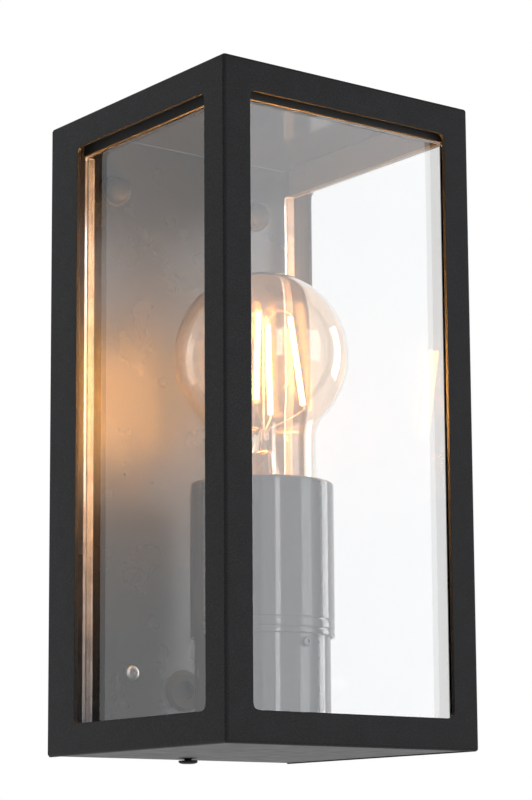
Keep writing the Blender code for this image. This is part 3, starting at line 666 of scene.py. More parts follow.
def lathe(profile: Profile, steps: int = ROUND_STEPS, edge: float = 0.0) -> bmesh.types.BMesh:
    """Turn a profile round the Z axis.

    Args:
        profile: Points of (radius, height). One that starts off the axis is closed on itself.
        steps: How many faces run round the piece.
        edge: The width of the rounding on its sharp edges, in metres.

    Returns:
        The closed shape.
    """
    shape = bmesh.new()
    points = [shape.verts.new((radius, 0, height)) for radius, height in profile]
    edges = [shape.edges.new(pair) for pair in zip(points, points[1:])]
    if profile[0][0] > 0:
        edges.append(shape.edges.new((points[-1], points[0])))
    bmesh.ops.spin(
        shape,
        geom=points + edges,
        cent=(0, 0, 0),
        axis=(0, 0, 1),
        angle=FULL_TURN,
        steps=steps,
        use_merge=True,
    )
    clean(shape)
    if edge:
        soften(shape, edge)
    return shape


def lay(shape: bmesh.types.BMesh, place: Vector, axis: Axis = Axis.UP) -> bmesh.types.BMesh:
    """Move a shape to its place, its height along the given direction.

    Args:
        shape: The shape, made round the Z axis at the origin.
        place: Where its origin goes.
        axis: UP keeps its height along +Z, and OUT lays it along -Y.

    Returns:
        The same shape.
    """
    turn = Matrix.Rotation(math.pi / 2, 4, "X") if axis is Axis.OUT else Matrix()
    bmesh.ops.transform(shape, matrix=Matrix.Translation(place) @ turn, verts=shape.verts)
    return shape


def outline(
    shape: bmesh.types.BMesh, low: Sequence[float], high: Sequence[float], corner: float = 0.0
) -> Edges:
    """Add a rectangle's outline on the XY plane, its corners rounded.

    Args:
        shape: The bmesh to add to.
        low: The lower left corner.
        high: The upper right corner.
        corner: The radius of the corners.

    Returns:
        The outline's edges.
    """
    before = set(shape.edges)
    made = bmesh.ops.create_grid(shape, x_segments=1, y_segments=1, size=0.5)["verts"]
    size = (high[0] - low[0], high[1] - low[1], 1)
    bmesh.ops.scale(shape, vec=size, verts=made)
    middle = ((low[0] + high[0]) / 2, (low[1] + high[1]) / 2, 0)
    bmesh.ops.translate(shape, vec=middle, verts=made)
    if corner:
        bmesh.ops.bevel(
            shape,
            geom=made,
            offset=corner,
            affect="VERTICES",
            segments=6,
            profile=0.5,
            material=-1,
        )
    edges = [edge for edge in shape.edges if edge not in before]
    faces = {face for edge in edges for face in edge.link_faces}
    bmesh.ops.delete(shape, geom=list(faces), context="FACES_ONLY")
    return edges


def round_hole(
    shape: bmesh.types.BMesh,
    centre: Sequence[float],
    radius: float,
    steps: int = 28,
    stretch: float = 0.0,
) -> Edges:
    """Add the outline of a round hole or a slot on the XY plane.

    Args:
        shape: The bmesh to add to.
        centre: The middle of the hole.
        radius: Its radius, or half of a slot's width.
        steps: How many edges run round it.
        stretch: How far each half of a slot lies from its middle, along X.

    Returns:
        The outline's edges.
    """
    before = set(shape.edges)
    turn = Matrix.Rotation(math.pi / steps, 4, "Z")
    made = bmesh.ops.create_circle(
        shape, cap_ends=False, segments=steps, radius=radius, matrix=turn
    )["verts"]
    for side in (-1, 1):
        half = [point for point in made if point.co.x * side > 0]
        bmesh.ops.translate(shape, vec=(side * stretch, 0, 0), verts=half)
    bmesh.ops.translate(shape, vec=(centre[0], centre[1], 0), verts=made)
    return [edge for edge in shape.edges if edge not in before]


def stamp(
    shape: bmesh.types.BMesh, thickness: float, matrix: Matrix, edge: float, segments: int = 2
) -> bmesh.types.BMesh:
    """Fill the outlines on the XY plane, give them a thickness and round the cut edges.

    Args:
        shape: A bmesh that holds only outlines: the outer one and any holes.
        thickness: The sheet's thickness, laid half on each side of the plane.
        matrix: Where the sheet goes.
        edge: The width of the rounding, in metres.
        segments: How many faces run round it.

    Returns:
        The same bmesh, now a closed sheet.
    """
    bmesh.ops.triangle_fill(
        shape, use_beauty=True, use_dissolve=False, edges=shape.edges, normal=(0, 0, 1)
    )
    grown = bmesh.ops.extrude_face_region(shape, geom=shape.faces[:])["geom"]
    bmesh.ops.translate(shape, vec=(0, 0, thickness), verts=verts_in(grown))
    bmesh.ops.translate(shape, vec=(0, 0, -thickness / 2), verts=shape.verts)
    clean(shape)
    soften(shape, edge, segments, HARD_EDGE)
    bmesh.ops.transform(shape, matrix=matrix, verts=shape.verts)
    return shape


def facing_out(place: Vector) -> Matrix:
    """Return the matrix that stands the XY plane up, facing -Y, at a place."""
    return Matrix.Translation(place) @ Matrix.Rotation(math.pi / 2, 4, "X")


def walled(shape: bmesh.types.BMesh, wall: float, edge: float) -> bmesh.types.BMesh:
    """Give an open sheet its wall, half on each side, and round its edges.

    Args:
        shape: The open sheet.
        wall: The wall's thickness.
        edge: The width of the rounding on its edges.

    Returns:
        The same bmesh, closed.
    """
    clean(shape)
    shape.normal_update()
    moves = []
    for point in shape.verts:
        normal = point.normal.copy()
        least = min(face.normal.dot(normal) for face in point.link_faces)
        moves.append((point, normal * (wall / 2 / least)))
    twins = bmesh.ops.duplicate(shape, geom=shape.verts[:] + shape.edges[:] + shape.faces[:])[
        "vert_map"
    ]
    for point, move in moves:
        point.co += move
        twins[point].co -= move
    rims = [item for item in shape.edges if item.is_boundary]
    bmesh.ops.bridge_loops(shape, edges=rims)
    clean(shape)
    soften(shape, edge, 2, HARD_EDGE)
    return shape


def bent_sheet(
    path: Sequence[tuple[float, float]],
    bends: Sequence[float],
    low: float,
    high: float,
    wall: float,
    edge: float,
) -> bmesh.types.BMesh:
    """Draw a sheet up along Z from a bent path on the XY plane.

    Args:
        path: The middle line of the sheet, as points of (x, y).
        bends: The radius of each corner of the path, at its middle line.
        low: The sheet's lower edge.
        high: Its upper edge.
        wall: Its thickness.
        edge: The width of the rounding on its edges.

    Returns:
        The closed sheet.
    """
    shape = bmesh.new()
    points = [shape.verts.new((x, y, low)) for x, y in path]
    for pair in zip(points, points[1:]):
        shape.edges.new(pair)
    corners = list(zip(points[1:-1], bends))
    for radius in sorted(set(bends)):
        bmesh.ops.bevel(
            shape,
            geom=[corner for corner, bend in corners if bend == radius],
            offset=radius,
            affect="VERTICES",
            segments=10,
            profile=0.5,
            material=-1,
        )
    grown = bmesh.ops.extrude_edge_only(shape, edges=shape.edges[:])["geom"]
    bmesh.ops.translate(shape, vec=(0, 0, high - low), verts=verts_in(grown))
    return walled(shape, wall, edge)


def ring_around(
    shape: bmesh.types.BMesh, place: Vector, along: Vector, radius: float, steps: int
) -> Edges:
    """Add a circle at a place, square to a direction.

    Args:
        shape: The bmesh to add to.
        place: The circle's centre.
        along: The direction that it faces.
        radius: Its radius.
        steps: How many edges run round it.

    Returns:
        The circle's edges.
    """
    turn = along.to_track_quat("Z", "Y").to_matrix().to_4x4()
    made = bmesh.ops.create_circle(
        shape,
        cap_ends=False,
        segments=steps,
        radius=radius,
        matrix=Matrix.Translation(place) @ turn,
    )["verts"]
    return list({edge for point in made for edge in point.link_edges})


def rod(shape: bmesh.types.BMesh, points: Sequence[Vector], radius: float, steps: int = 10) -> None:
    """Draw a round wire along points and close its ends.

    Args:
        shape: The bmesh to add to.
        points: The places that the wire runs through.
        radius: Its radius.
        steps: How many faces run round it.
    """
    places = [Vector(point) for point in points]
    direction = (places[1] - places[0]).normalized()
    edges = ring_around(shape, places[0], direction, radius, steps)
    bmesh.ops.edgeloop_fill(shape, edges=edges)
    for index in range(1, len(places)):
        onward = places[min(index + 1, len(places) - 1)] - places[index - 1]
        turned = direction.rotation_difference(onward.normalized())
        grown = bmesh.ops.extrude_edge_only(shape, edges=edges)["geom"]
        moved = verts_in(grown)
        edges = edges_between(grown, moved)
        bmesh.ops.translate(shape, vec=places[index] - places[index - 1], verts=moved)
        bmesh.ops.rotate(shape, cent=places[index], matrix=turned.to_matrix(), verts=moved)
        direction = onward.normalized()
    bmesh.ops.edgeloop_fill(shape, edges=edges)


def curve_through(stops: Sequence[Sequence[float]], count: int) -> list[Vector]:
    """Return evenly stepped points on a smooth curve through the stops.

    Args:
        stops: The places that the curve passes.
        count: How many steps it is drawn in.

    Returns:
        The points.
    """
    padded = [Vector(stop) for stop in (stops[0], *stops, stops[-1])]
    points = []
    for step in range(count + 1):
        place = min(step * (len(stops) - 1) / count, len(stops) - 1 - 1e-9)
        index = int(place)
        t = place - index
        a, b, c, d = padded[index : index + 4]
        squared = (2 * a - 5 * b + 4 * c - d) * t**2
        cubed = (3 * b - a - 3 * c + d) * t**3
        points.append(0.5 * (2 * b + (c - a) * t + squared + cubed))
    return points


def thread(
    radius: float, depth: float, pitch: float, low: float, high: float, steps: int
) -> bmesh.types.BMesh:
    """Cut a screw thread between two heights, open at both ends.

    Args:
        radius: The radius over the crests.
        depth: How deep the grooves are.
        pitch: The height of one turn.
        low: The lower end.
        high: The upper end.
        steps: How many faces run round it.

    Returns:
        The open shape.
    """
    shape = bmesh.new()
    per_pitch = 8
    points = []
    for step in range(per_pitch + 1):
        part = step / per_pitch
        groove = depth * (0.5 - 0.5 * math.cos(FULL_TURN * part))
        points.append(shape.verts.new((radius - groove, 0, low - pitch * (1.5 - part))))
    edges = [shape.edges.new(pair) for pair in zip(points, points[1:])]
    turns = math.ceil((high - low) / pitch) + 2
    bmesh.ops.spin(
        shape,
        geom=points + edges,
        cent=(0, 0, 0),
        axis=(0, 0, 1),
        dvec=(0, 0, pitch / steps),
        angle=FULL_TURN * turns,
        steps=steps * turns,
        use_merge=False,
    )
    bmesh.ops.remove_doubles(shape, verts=shape.verts, dist=pitch / 100)
    for height, side in ((low, {"clear_inner": True}), (high, {"clear_outer": True})):
        bmesh.ops.bisect_plane(
            shape,
            geom=shape.verts[:] + shape.edges[:] + shape.faces[:],
            dist=WELD,
            plane_co=(0, 0, height),
            plane_no=(0, 0, 1),
            **side,
        )
    bmesh.ops.recalc_face_normals(shape, faces=shape.faces)
    return shape


def rim_at(shape: bmesh.types.BMesh, height: float) -> Edges:
    """Return the open edges that lie at a height."""
    return [
        edge
        for edge in shape.edges
        if edge.is_boundary and all(abs(v.co.z - height) < NEAR for v in edge.verts)
    ]


def grow(shape: bmesh.types.BMesh, edges: Edges, height: float, radius: float) -> Edges:
    """Draw an open round rim on to a new height and radius.

    Args:
        shape: The bmesh to grow.
        edges: The rim, centred on the Z axis.
        height: The new rim's height.
        radius: The new rim's radius.

    Returns:
        The new rim's edges.
    """
    grown = bmesh.ops.extrude_edge_only(shape, edges=edges)["geom"]
    moved = verts_in(grown)
    for point in moved:
        flat = point.co.to_2d().normalized() * radius
        point.co = (flat.x, flat.y, height)
    return edges_between(grown, moved)


def threaded_rod(
    radius: float, pitch: float, low: float, high: float, steps: int, tip: float = 0.0
) -> bmesh.types.BMesh:
    """Make a solid threaded rod with chamfered ends.

    Args:
        radius: The radius over the crests.
        pitch: The height of one turn.
        low: The lower end.
        high: The upper end.
        steps: How many faces run round it.
        tip: The length of the chamfer at each end.

    Returns:
        The closed shape.
    """
    tip = tip or pitch / 2
    depth = pitch * 0.5
    shape = thread(radius, depth, pitch, low + tip, high - tip, steps)
    for start, end in ((low + tip, low), (high - tip, high)):
        rim = grow(shape, rim_at(shape, start), end, radius - depth)
        bmesh.ops.edgeloop_fill(shape, edges=rim)
    clean(shape)
    return shape


class Recess(Enum):
    """The drive that is cut into a screw's head."""

    CROSS = "cross"
    SLOT = "slot"


def screw_shape(
    head: float,
    head_height: float,
    shank: float,
    length: float,
    recess: Recess = Recess.CROSS,
    pitch: float = 0.5 * MM,
) -> bmesh.types.BMesh:
    """Make a pan-head screw whose head stands on Z = 0, with its shank below.

    Args:
        head: The head's radius.
        head_height: The head's height.
        shank: The shank's radius.
        length: The shank's length.
        recess: The drive in the head.
        pitch: The thread's pitch.

    Returns:
        The closed shape.
    """
    shape = thread(shank, pitch * 0.45, pitch, -length + pitch / 2, -pitch / 4, SMALL_STEPS)
    tip = grow(shape, rim_at(shape, -length + pitch / 2), -length, shank * 0.75)
    bmesh.ops.edgeloop_fill(shape, edges=tip)
    rim = grow(shape, rim_at(shape, -pitch / 4), 0, shank)
    flat = head * 0.62
    for radius, height in (
        (head * 0.97, 0),
        (head, head_height * 0.08),
        (head, head_height * 0.42),
        (head * 0.95, head_height * 0.66),
        (head * 0.82, head_height * 0.86),
        (flat, head_height),
    ):
        rim = grow(shape, rim, height, radius)
    wide, narrow = head * 0.48, head * 0.13
    if recess is Recess.SLOT:
        reach = flat * 0.97
        corners = [(-reach, -narrow), (reach, -narrow), (reach, narrow), (-reach, narrow)]
    else:
        quarter = [(wide, -narrow), (wide, narrow), (narrow, narrow)]
        corners = [
            (x * cos - y * sin, x * sin + y * cos)
            for cos, sin in ((1, 0), (0, 1), (-1, 0), (0, -1))
            for x, y in quarter
        ]
    points = [shape.verts.new((x, y, head_height)) for x, y in corners]
    drive = [shape.edges.new(pair) for pair in zip(points, points[1:] + points[:1])]
    bmesh.ops.triangle_fill(shape, use_beauty=True, edges=rim + drive, normal=(0, 0, 1))
    depth = head_height * 0.55
    grown = bmesh.ops.extrude_edge_only(shape, edges=drive)["geom"]
    floor = verts_in(grown)
    bmesh.ops.translate(shape, vec=(0, 0, -depth), verts=floor)
    bmesh.ops.scale(shape, vec=(0.86, 0.86, 1), verts=floor)
    bmesh.ops.edgeloop_fill(shape, edges=edges_between(grown, floor))
    clean(shape)
    return shape


def centre_of(node: str) -> Vector:
    """Return the middle of a node's box."""
    low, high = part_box(node)
    return (low + high) / 2


def foot_of(node: str) -> Vector:
    """Return the middle of a node's box, taken down to the height Z = 0."""
    centre = centre_of(node)
    return Vector((centre.x, centre.y, 0))


def back_of(node: str) -> Vector:
    """Return the middle of the rear face of a node's box."""
    centre = centre_of(node)
    return Vector((centre.x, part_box(node)[1].y, centre.z))


@dataclass
class Cage:
    """The welded sheet cage: one rounded shell with three windows, and its base sheet."""

    shop: Workshop
    sheet: float = 1.5 * MM
    outer_edge: float = 1.1 * MM
    cut_edge: float = 0.3 * MM
    window_corner: float = 2.5 * MM
    rail: float = 11 * MM
    front_post: float = 11 * MM
    side_post_front: float = 11.5 * MM
    side_post_rear: float = 17.5 * MM
    base_gap: float = 0.2 * MM
    base_sink: float = 0.25 * MM
    lock_hole: float = 2 * MM

    def build(self) -> None:
        """Build the shell and the base."""
        corners = [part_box(node) for node in ("front_frame", "side_frame_left", "side_frame_right")]
        self.low = Vector(map(min, *(low for low, _ in corners)))
        self.high = Vector(map(max, *(high for _, high in corners)))
        self.low.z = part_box("base_panel")[0].z
        self.high.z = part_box("roof_panel")[1].z
        self.shell()
        self.base()

    def window_of(self, face: bmesh.types.BMFace) -> tuple[Vector, Vector]:
        """Return the low and high corner of the window in a wall."""
        bottom, top = self.low.z + self.rail, self.high.z - self.rail
        if abs(face.normal.y) > 0.5:
            return (
                Vector((self.low.x + self.front_post, self.low.y, bottom)),
                Vector((self.high.x - self.front_post, self.low.y, top)),
            )
        x = face.calc_center_median().x
        return (
            Vector((x, self.low.y + self.side_post_front, bottom)),
            Vector((x, -self.side_post_rear, top)),
        )

    def on_outside(self, edge: bmesh.types.BMEdge) -> bool:
        """Tell whether an edge runs along two of the cage's outer planes, the rear left out."""
        planes = 0
        for axis, limit in (
            (0, self.low.x),
            (0, self.high.x),
            (1, self.low.y),
            (2, self.low.z),
            (2, self.high.z),
        ):
            planes += all(abs(point.co[axis] - limit) < WELD for point in edge.verts)
        return planes > 1

    def shell(self) -> None:
        """Build the shell: a box open at the rear and below, with a window in each wall."""
        shape = bmesh.new()
        bmesh.ops.create_cube(shape, size=1.0)
        bmesh.ops.scale(shape, vec=self.high - self.low, verts=shape.verts)
        bmesh.ops.translate(shape, vec=(self.high + self.low) / 2, verts=shape.verts)
        bmesh.ops.recalc_face_normals(shape, faces=shape.faces)
        open_faces = [f for f in shape.faces if f.normal.y > 0.5 or f.normal.z < -0.5]
        bmesh.ops.delete(shape, geom=open_faces, context="FACES_ONLY")
        corners: list[Vector] = []
        for wall in [f for f in shape.faces if abs(f.normal.z) < 0.5]:
            low, high = self.window_of(wall)
            middle = wall.calc_center_median()
            bmesh.ops.inset_individual(shape, faces=[wall], thickness=self.rail)
            for point in wall.verts:
                for axis in range(3):
                    point.co[axis] = high[axis] if point.co[axis] > middle[axis] else low[axis]
                corners.append(point.co.copy())
            bmesh.ops.delete(shape, geom=[wall], context="FACES")
        bmesh.ops.solidify(shape, geom=shape.faces[:], thickness=self.sheet)
        bmesh.ops.recalc_face_normals(shape, faces=shape.faces)
        through = [
            edge
            for edge in shape.edges
            if abs(edge.calc_length() - self.sheet) < NEAR
            and any((point.co - corner).length < NEAR for point in edge.verts for corner in corners)
        ]
        bmesh.ops.bevel(
            shape,
            geom=through,
            offset=self.window_corner,
            affect="EDGES",
            segments=8,
            profile=0.5,
            material=-1,
        )
        soften(shape, self.outer_edge, 5, HARD_EDGE, self.on_outside)
        soften(shape, self.cut_edge, 2, HARD_EDGE)
        for face in shape.faces:
            below = self.high.z - 2 * self.sheet < face.calc_center_median().z < self.high.z
            face.material_index = int(below and face.normal.z < -0.9)
        shell = self.shop.piece(
            shape,
            "cage_shell",
            Coat.CAGE,
            Body.CAGE,
            ("front_frame", "side_frame_left", "side_frame_right", "roof_panel"),
        )
        shell.data.materials.append(self.shop.roof_lining)

    def base(self) -> None:
        """Build the base sheet, let in between the walls with a hairline gap."""
        inset = self.sheet + self.base_gap
        low, high = self.low + Vector((inset, inset, 0)), self.high - Vector((inset, 0.4 * MM, 0))
        lock = centre_of("lock_screw")
        shape = bmesh.new()
        outline(shape, low, high, 0.6 * MM)
        round_hole(shape, lock, self.lock_hole)
        place = Vector((0, 0, self.low.z + self.base_sink + self.sheet / 2))
        stamp(shape, self.sheet - self.base_sink, Matrix.Translation(place), 0.2 * MM)
        self.shop.piece(shape, "cage_base", Coat.CAGE, Body.CAGE, ("base_panel",))


@dataclass
class Shade:
    """The clear three-sided shade, and the gasket between its top edge and the roof."""

    shop: Workshop
    wall: float = 2.5 * MM
    corner: float = 3.75 * MM
    rim: float = 5.5 * MM
    rim_bend: float = 1.6 * MM
    rim_margin: float = 0.125 * MM
    polish: float = 0.45 * MM
    gasket_wall: float = 4 * MM
    gasket_edge: float = 0.6 * MM

    def build(self) -> None:
        """Build the shade and its gasket."""
        low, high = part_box("clear_shade")
        half, front, rear = high.x - self.wall / 2, low.y + self.wall / 2, high.y - self.wall / 2
        inner, bend = high.x - self.rim, self.corner - self.wall / 2
        path = [(-inner, rear), (-half, rear), (-half, front), (half, front), (half, rear), (inner, rear)]
        bends = [self.rim_bend, bend, bend, self.rim_bend]
        shape = bent_sheet(path, bends, low.z, high.z, self.wall, self.polish)
        for face in shape.faces:
            face.material_index = self.region_of(face.calc_center_median(), low, high)
        shade = self.shop.piece(shape, "clear_shade_walls", Coat.PANE, Body.CAGE, ("clear_shade",))
        shade.visible_shadow = False
        # The rear rim takes the near-white painted-light finish.
        shade.data.materials.append(self.shop.painted_rim_light)
        shade.data.materials.append(self.shop.pane_bend)
        low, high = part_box("shade_seal")
        half, front = high.x - self.gasket_wall / 2, low.y + self.gasket_wall / 2
        path = [(-half, high.y), (-half, front), (half, front), (half, high.y)]
        bend = self.corner - self.gasket_wall / 2
        shape = bent_sheet(path, [bend, bend], low.z, high.z, self.gasket_wall, self.gasket_edge)
        self.shop.piece(shape, "shade_gasket", Coat.RUBBER, Body.CAGE, ("shade_seal",))

    def region_of(self, centre: Vector, low: Vector, high: Vector) -> int:
        """Tell which finish a face of the shade takes.

        Args:
            centre: The face's middle.
            low: The shade's lowest corner.
            high: The shade's highest corner.

        Returns:
            0 for a flat wall, 1 for the rear rim, 2 for a bend at the front.
        """
        rear = centre.y > high.y - self.wall - self.rim_margin
        if rear and abs(centre.x) < high.x - self.wall / 2:
            return 1
        bent = centre.y < low.y + self.corner and abs(centre.x) > high.x - self.corner
        return 2 if bent else 0


@dataclass
class Chassis:
    """The rear and floor sheets, the angles that join them, and what is fixed to them."""

    shop: Workshop
    plate: float = 1.2 * MM
    cut_edge: float = 0.25 * MM
    hole: float = 1.9 * MM
    stud_hole: float = 2.4 * MM
    cable_hole: float = 5.6 * MM
    angle_bend: float = 1.6 * MM
    rear_corner: float = 1.2 * MM
    cable_steps: int = 40
    floor_corner: float = 1.5 * MM

    def build(self) -> None:
        """Build the sheets, angles, nuts, screws and grommet."""
        self.rear_sheet()
        self.floor_sheet()
        for side in ("left", "right"):
            self.angle(side)
            self.dome_nut(side)
            pan_screw(self.shop, f"plate_screw_{side}", Axis.OUT)
            pan_screw(self.shop, f"foot_screw_{side}", Axis.UP)
        self.grommet()

    def rear_sheet(self) -> None:
        """Build the upright sheet behind the lamp."""
        low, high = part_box("back_plate")
        shape = bmesh.new()
        outline(shape, (low.x, low.z), (high.x, high.z), self.rear_corner)
        for side in ("left", "right"):
            nut, screw = centre_of(f"cap_nut_{side}"), centre_of(f"plate_screw_{side}")
            round_hole(shape, (nut.x, nut.z), self.stud_hole)
            round_hole(shape, (screw.x, screw.z), self.hole)
        cable = centre_of("cable_grommet")
        round_hole(shape, (cable.x, cable.z), self.cable_hole, self.cable_steps)
        place = Vector((0, (low.y + high.y) / 2, 0))
        stamp(shape, high.y - low.y, facing_out(place), self.cut_edge)
        self.shop.piece(shape, "rear_sheet", Coat.PLATE, Body.CHASSIS, ("back_plate",))

    def floor_sheet(self) -> None:
        """Build the level sheet that carries the lamp's tube."""
        low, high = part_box("floor_plate")
        shape = bmesh.new()
        outline(shape, low, high, self.floor_corner)
        for side in ("left", "right"):
            for name in ("foot_screw", "tube_screw"):
                round_hole(shape, centre_of(f"{name}_{side}"), self.hole)
        place = Matrix.Translation((0, 0, (low.z + high.z) / 2))
        stamp(shape, high.z - low.z, place, self.cut_edge)
        self.shop.piece(shape, "floor_sheet", Coat.PLATE, Body.CHASSIS, ("floor_plate",))

    def angle(self, side: str) -> None:
        """Build one bent angle, with a hole in each leg."""
        low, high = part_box(f"corner_bracket_{side}")
        upright, foot = high.y - self.plate / 2, low.z + self.plate / 2
        path = [(upright, high.z), (upright, foot), (low.y, foot)]
        shape = bent_sheet(path, [self.angle_bend], low.x, high.x, self.plate, self.cut_edge)
        turn = Matrix(((0, 0, 1, 0), (1, 0, 0, 0), (0, 1, 0, 0), (0, 0, 0, 1)))
        bmesh.ops.transform(shape, matrix=turn, verts=shape.verts)
        self.shop.piece(
            shape, f"angle_{side}", Coat.PLATE, Body.CHASSIS, (f"corner_bracket_{side}",)
        )

    def dome_nut(self, side: str) -> None:
        """Build one closed nut: a thin collar under a hexagon and a dome."""
        low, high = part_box(f"cap_nut_{side}")
        radius, height = (high.x - low.x) / 2, high.y - low.y
        bore = self.stud_hole - 0.1 * MM
        crown = [
            (radius * 0.9 * math.sin(a), height * (0.4 + 0.6 * math.cos(a)))
            for a in (math.radians(9 * step) for step in range(11))
        ]
        profile = [
            *crown,
            (radius * 0.9, height * 0.2),
            (radius, height * 0.16),
            (radius, 0),
            (bore, 0),
            (bore, height * 0.5),
            (0, height * 0.5),
        ]
        shape = lathe(profile, ROUND_STEPS, 0.15 * MM)
        lay(shape, back_of(f"cap_nut_{side}"), Axis.OUT)
        self.shop.piece(shape, f"dome_nut_{side}", Coat.CAGE, Body.CHASSIS, (f"cap_nut_{side}",))

    def grommet(self) -> None:
        """Build the rubber ring in the cable hole, with the thin skin that the cable pierces."""
        low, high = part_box("cable_grommet")
        lip, neck, bore = (high.x - low.x) / 2, 5.2 * MM, 3.5 * MM
        half, groove, skin = (high.y - low.y) / 2, 0.9 * MM, 0.3 * MM
        profile = [
            (0, skin),
            (bore * 0.94, skin),
            (bore, half),
            (lip * 0.86, half),
            (lip, groove + 0.35 * MM),
            (lip, groove),
            (neck, groove),
            (neck, -groove),
            (lip, -groove),
            (lip, -groove - 0.35 * MM),
            (lip * 0.86, -half),
            (bore, -half),
            (bore * 0.94, -skin),
            (0, -skin),
        ]
        shape = lay(lathe(profile, ROUND_STEPS, 0.2 * MM), (low + high) / 2, Axis.OUT)
        self.shop.piece(shape, "grommet_ring", Coat.RUBBER, Body.CHASSIS, ("cable_grommet",))


@dataclass(frozen=True)
class ScrewSize:
    """The sizes of a pan-head screw, apart from its length."""

    head: float = 2.8 * MM
    head_height: float = 1.8 * MM
    shank: float = 1.45 * MM


def pan_screw(shop: Workshop, node: str, axis: Axis, size: ScrewSize = ScrewSize()) -> None:
    """Build a screw that fills the box of a node, its head above or in front.

    Args:
        shop: The workshop that makes the piece.
        node: The node that it stands for.
        axis: The direction that its head points.
        size: Its head and shank.
    """
    low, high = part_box(node)
    middle = centre_of(node)
    if axis is Axis.UP:
        length, place = high.z - low.z, Vector((middle.x, middle.y, high.z - size.head_height))
    else:
        length, place = high.y - low.y, Vector((middle.x, low.y + size.head_height, middle.z))
    shape = screw_shape(size.head, size.head_height, size.shank, length - size.head_height)
    name = node.replace("screw", "pan_screw")
    shop.piece(lay(shape, place, axis), name, Coat.ZINC, Body.CHASSIS, (node,))


@dataclass
class WallMount:
    """The zinc bracket on the wall, with its two studs and spacers."""

    shop: Workshop
    corner: float = 4 * MM
    cut_edge: float = 0.3 * MM
    slot_width: float = 5 * MM
    slot_length: float = 9 * MM
    slot_x: float = 28 * MM
    slot_z: float = 60 * MM
    cable_hole: float = 7.6 * MM
    stud_pitch: float = 0.7 * MM
    spacer_bore: float = 2.3 * MM
    spacer_edge: float = 0.4 * MM
    spacer_steps: int = 40
    slot_steps: int = 28
    cable_steps: int = 44

    def build(self) -> None:
        """Build the bracket, studs and spacers."""
        low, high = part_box("wall_bracket")
        shape = bmesh.new()
        outline(shape, (low.x, low.z), (high.x, high.z), self.corner)
        stretch = (self.slot_length - self.slot_width) / 2
        for x in (-self.slot_x, self.slot_x):
            for z in (-self.slot_z, self.slot_z):
                round_hole(shape, (x, z), self.slot_width / 2, self.slot_steps, stretch)
        cable = centre_of("cable_grommet")
        round_hole(shape, (cable.x, cable.z), self.cable_hole, self.cable_steps)
        place = Vector((0, (low.y + high.y) / 2, 0))
        stamp(shape, high.y - low.y, facing_out(place), self.cut_edge)
        self.shop.piece(shape, "bracket_sheet", Coat.ZINC, Body.CHASSIS, ("wall_bracket",))
        for side in ("left", "right"):
            self.stud(side)
            self.spacer(side)

    def stud(self, side: str) -> None:
        """Build one threaded stud."""
        node = f"bracket_stud_{side}"
        low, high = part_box(node)
        shape = threaded_rod((high.x - low.x) / 2, self.stud_pitch, 0, high.y - low.y, SMALL_STEPS)
        lay(shape, back_of(node), Axis.OUT)
        self.shop.piece(shape, f"threaded_stud_{side}", Coat.ZINC, Body.CHASSIS, (node,))

    def spacer(self, side: str) -> None:
        """Build one plain spacer with a turned edge."""
        node = f"plate_spacer_{side}"
        low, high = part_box(node)
        radius, length, bore = (high.x - low.x) / 2, high.y - low.y, self.spacer_bore
        profile = [(radius, length), (radius, 0), (bore, 0), (bore, length)]
        shape = lay(lathe(profile, self.spacer_steps, self.spacer_edge), back_of(node), Axis.OUT)
        self.shop.piece(shape, f"spacer_{side}", Coat.ZINC, Body.CHASSIS, (node,))


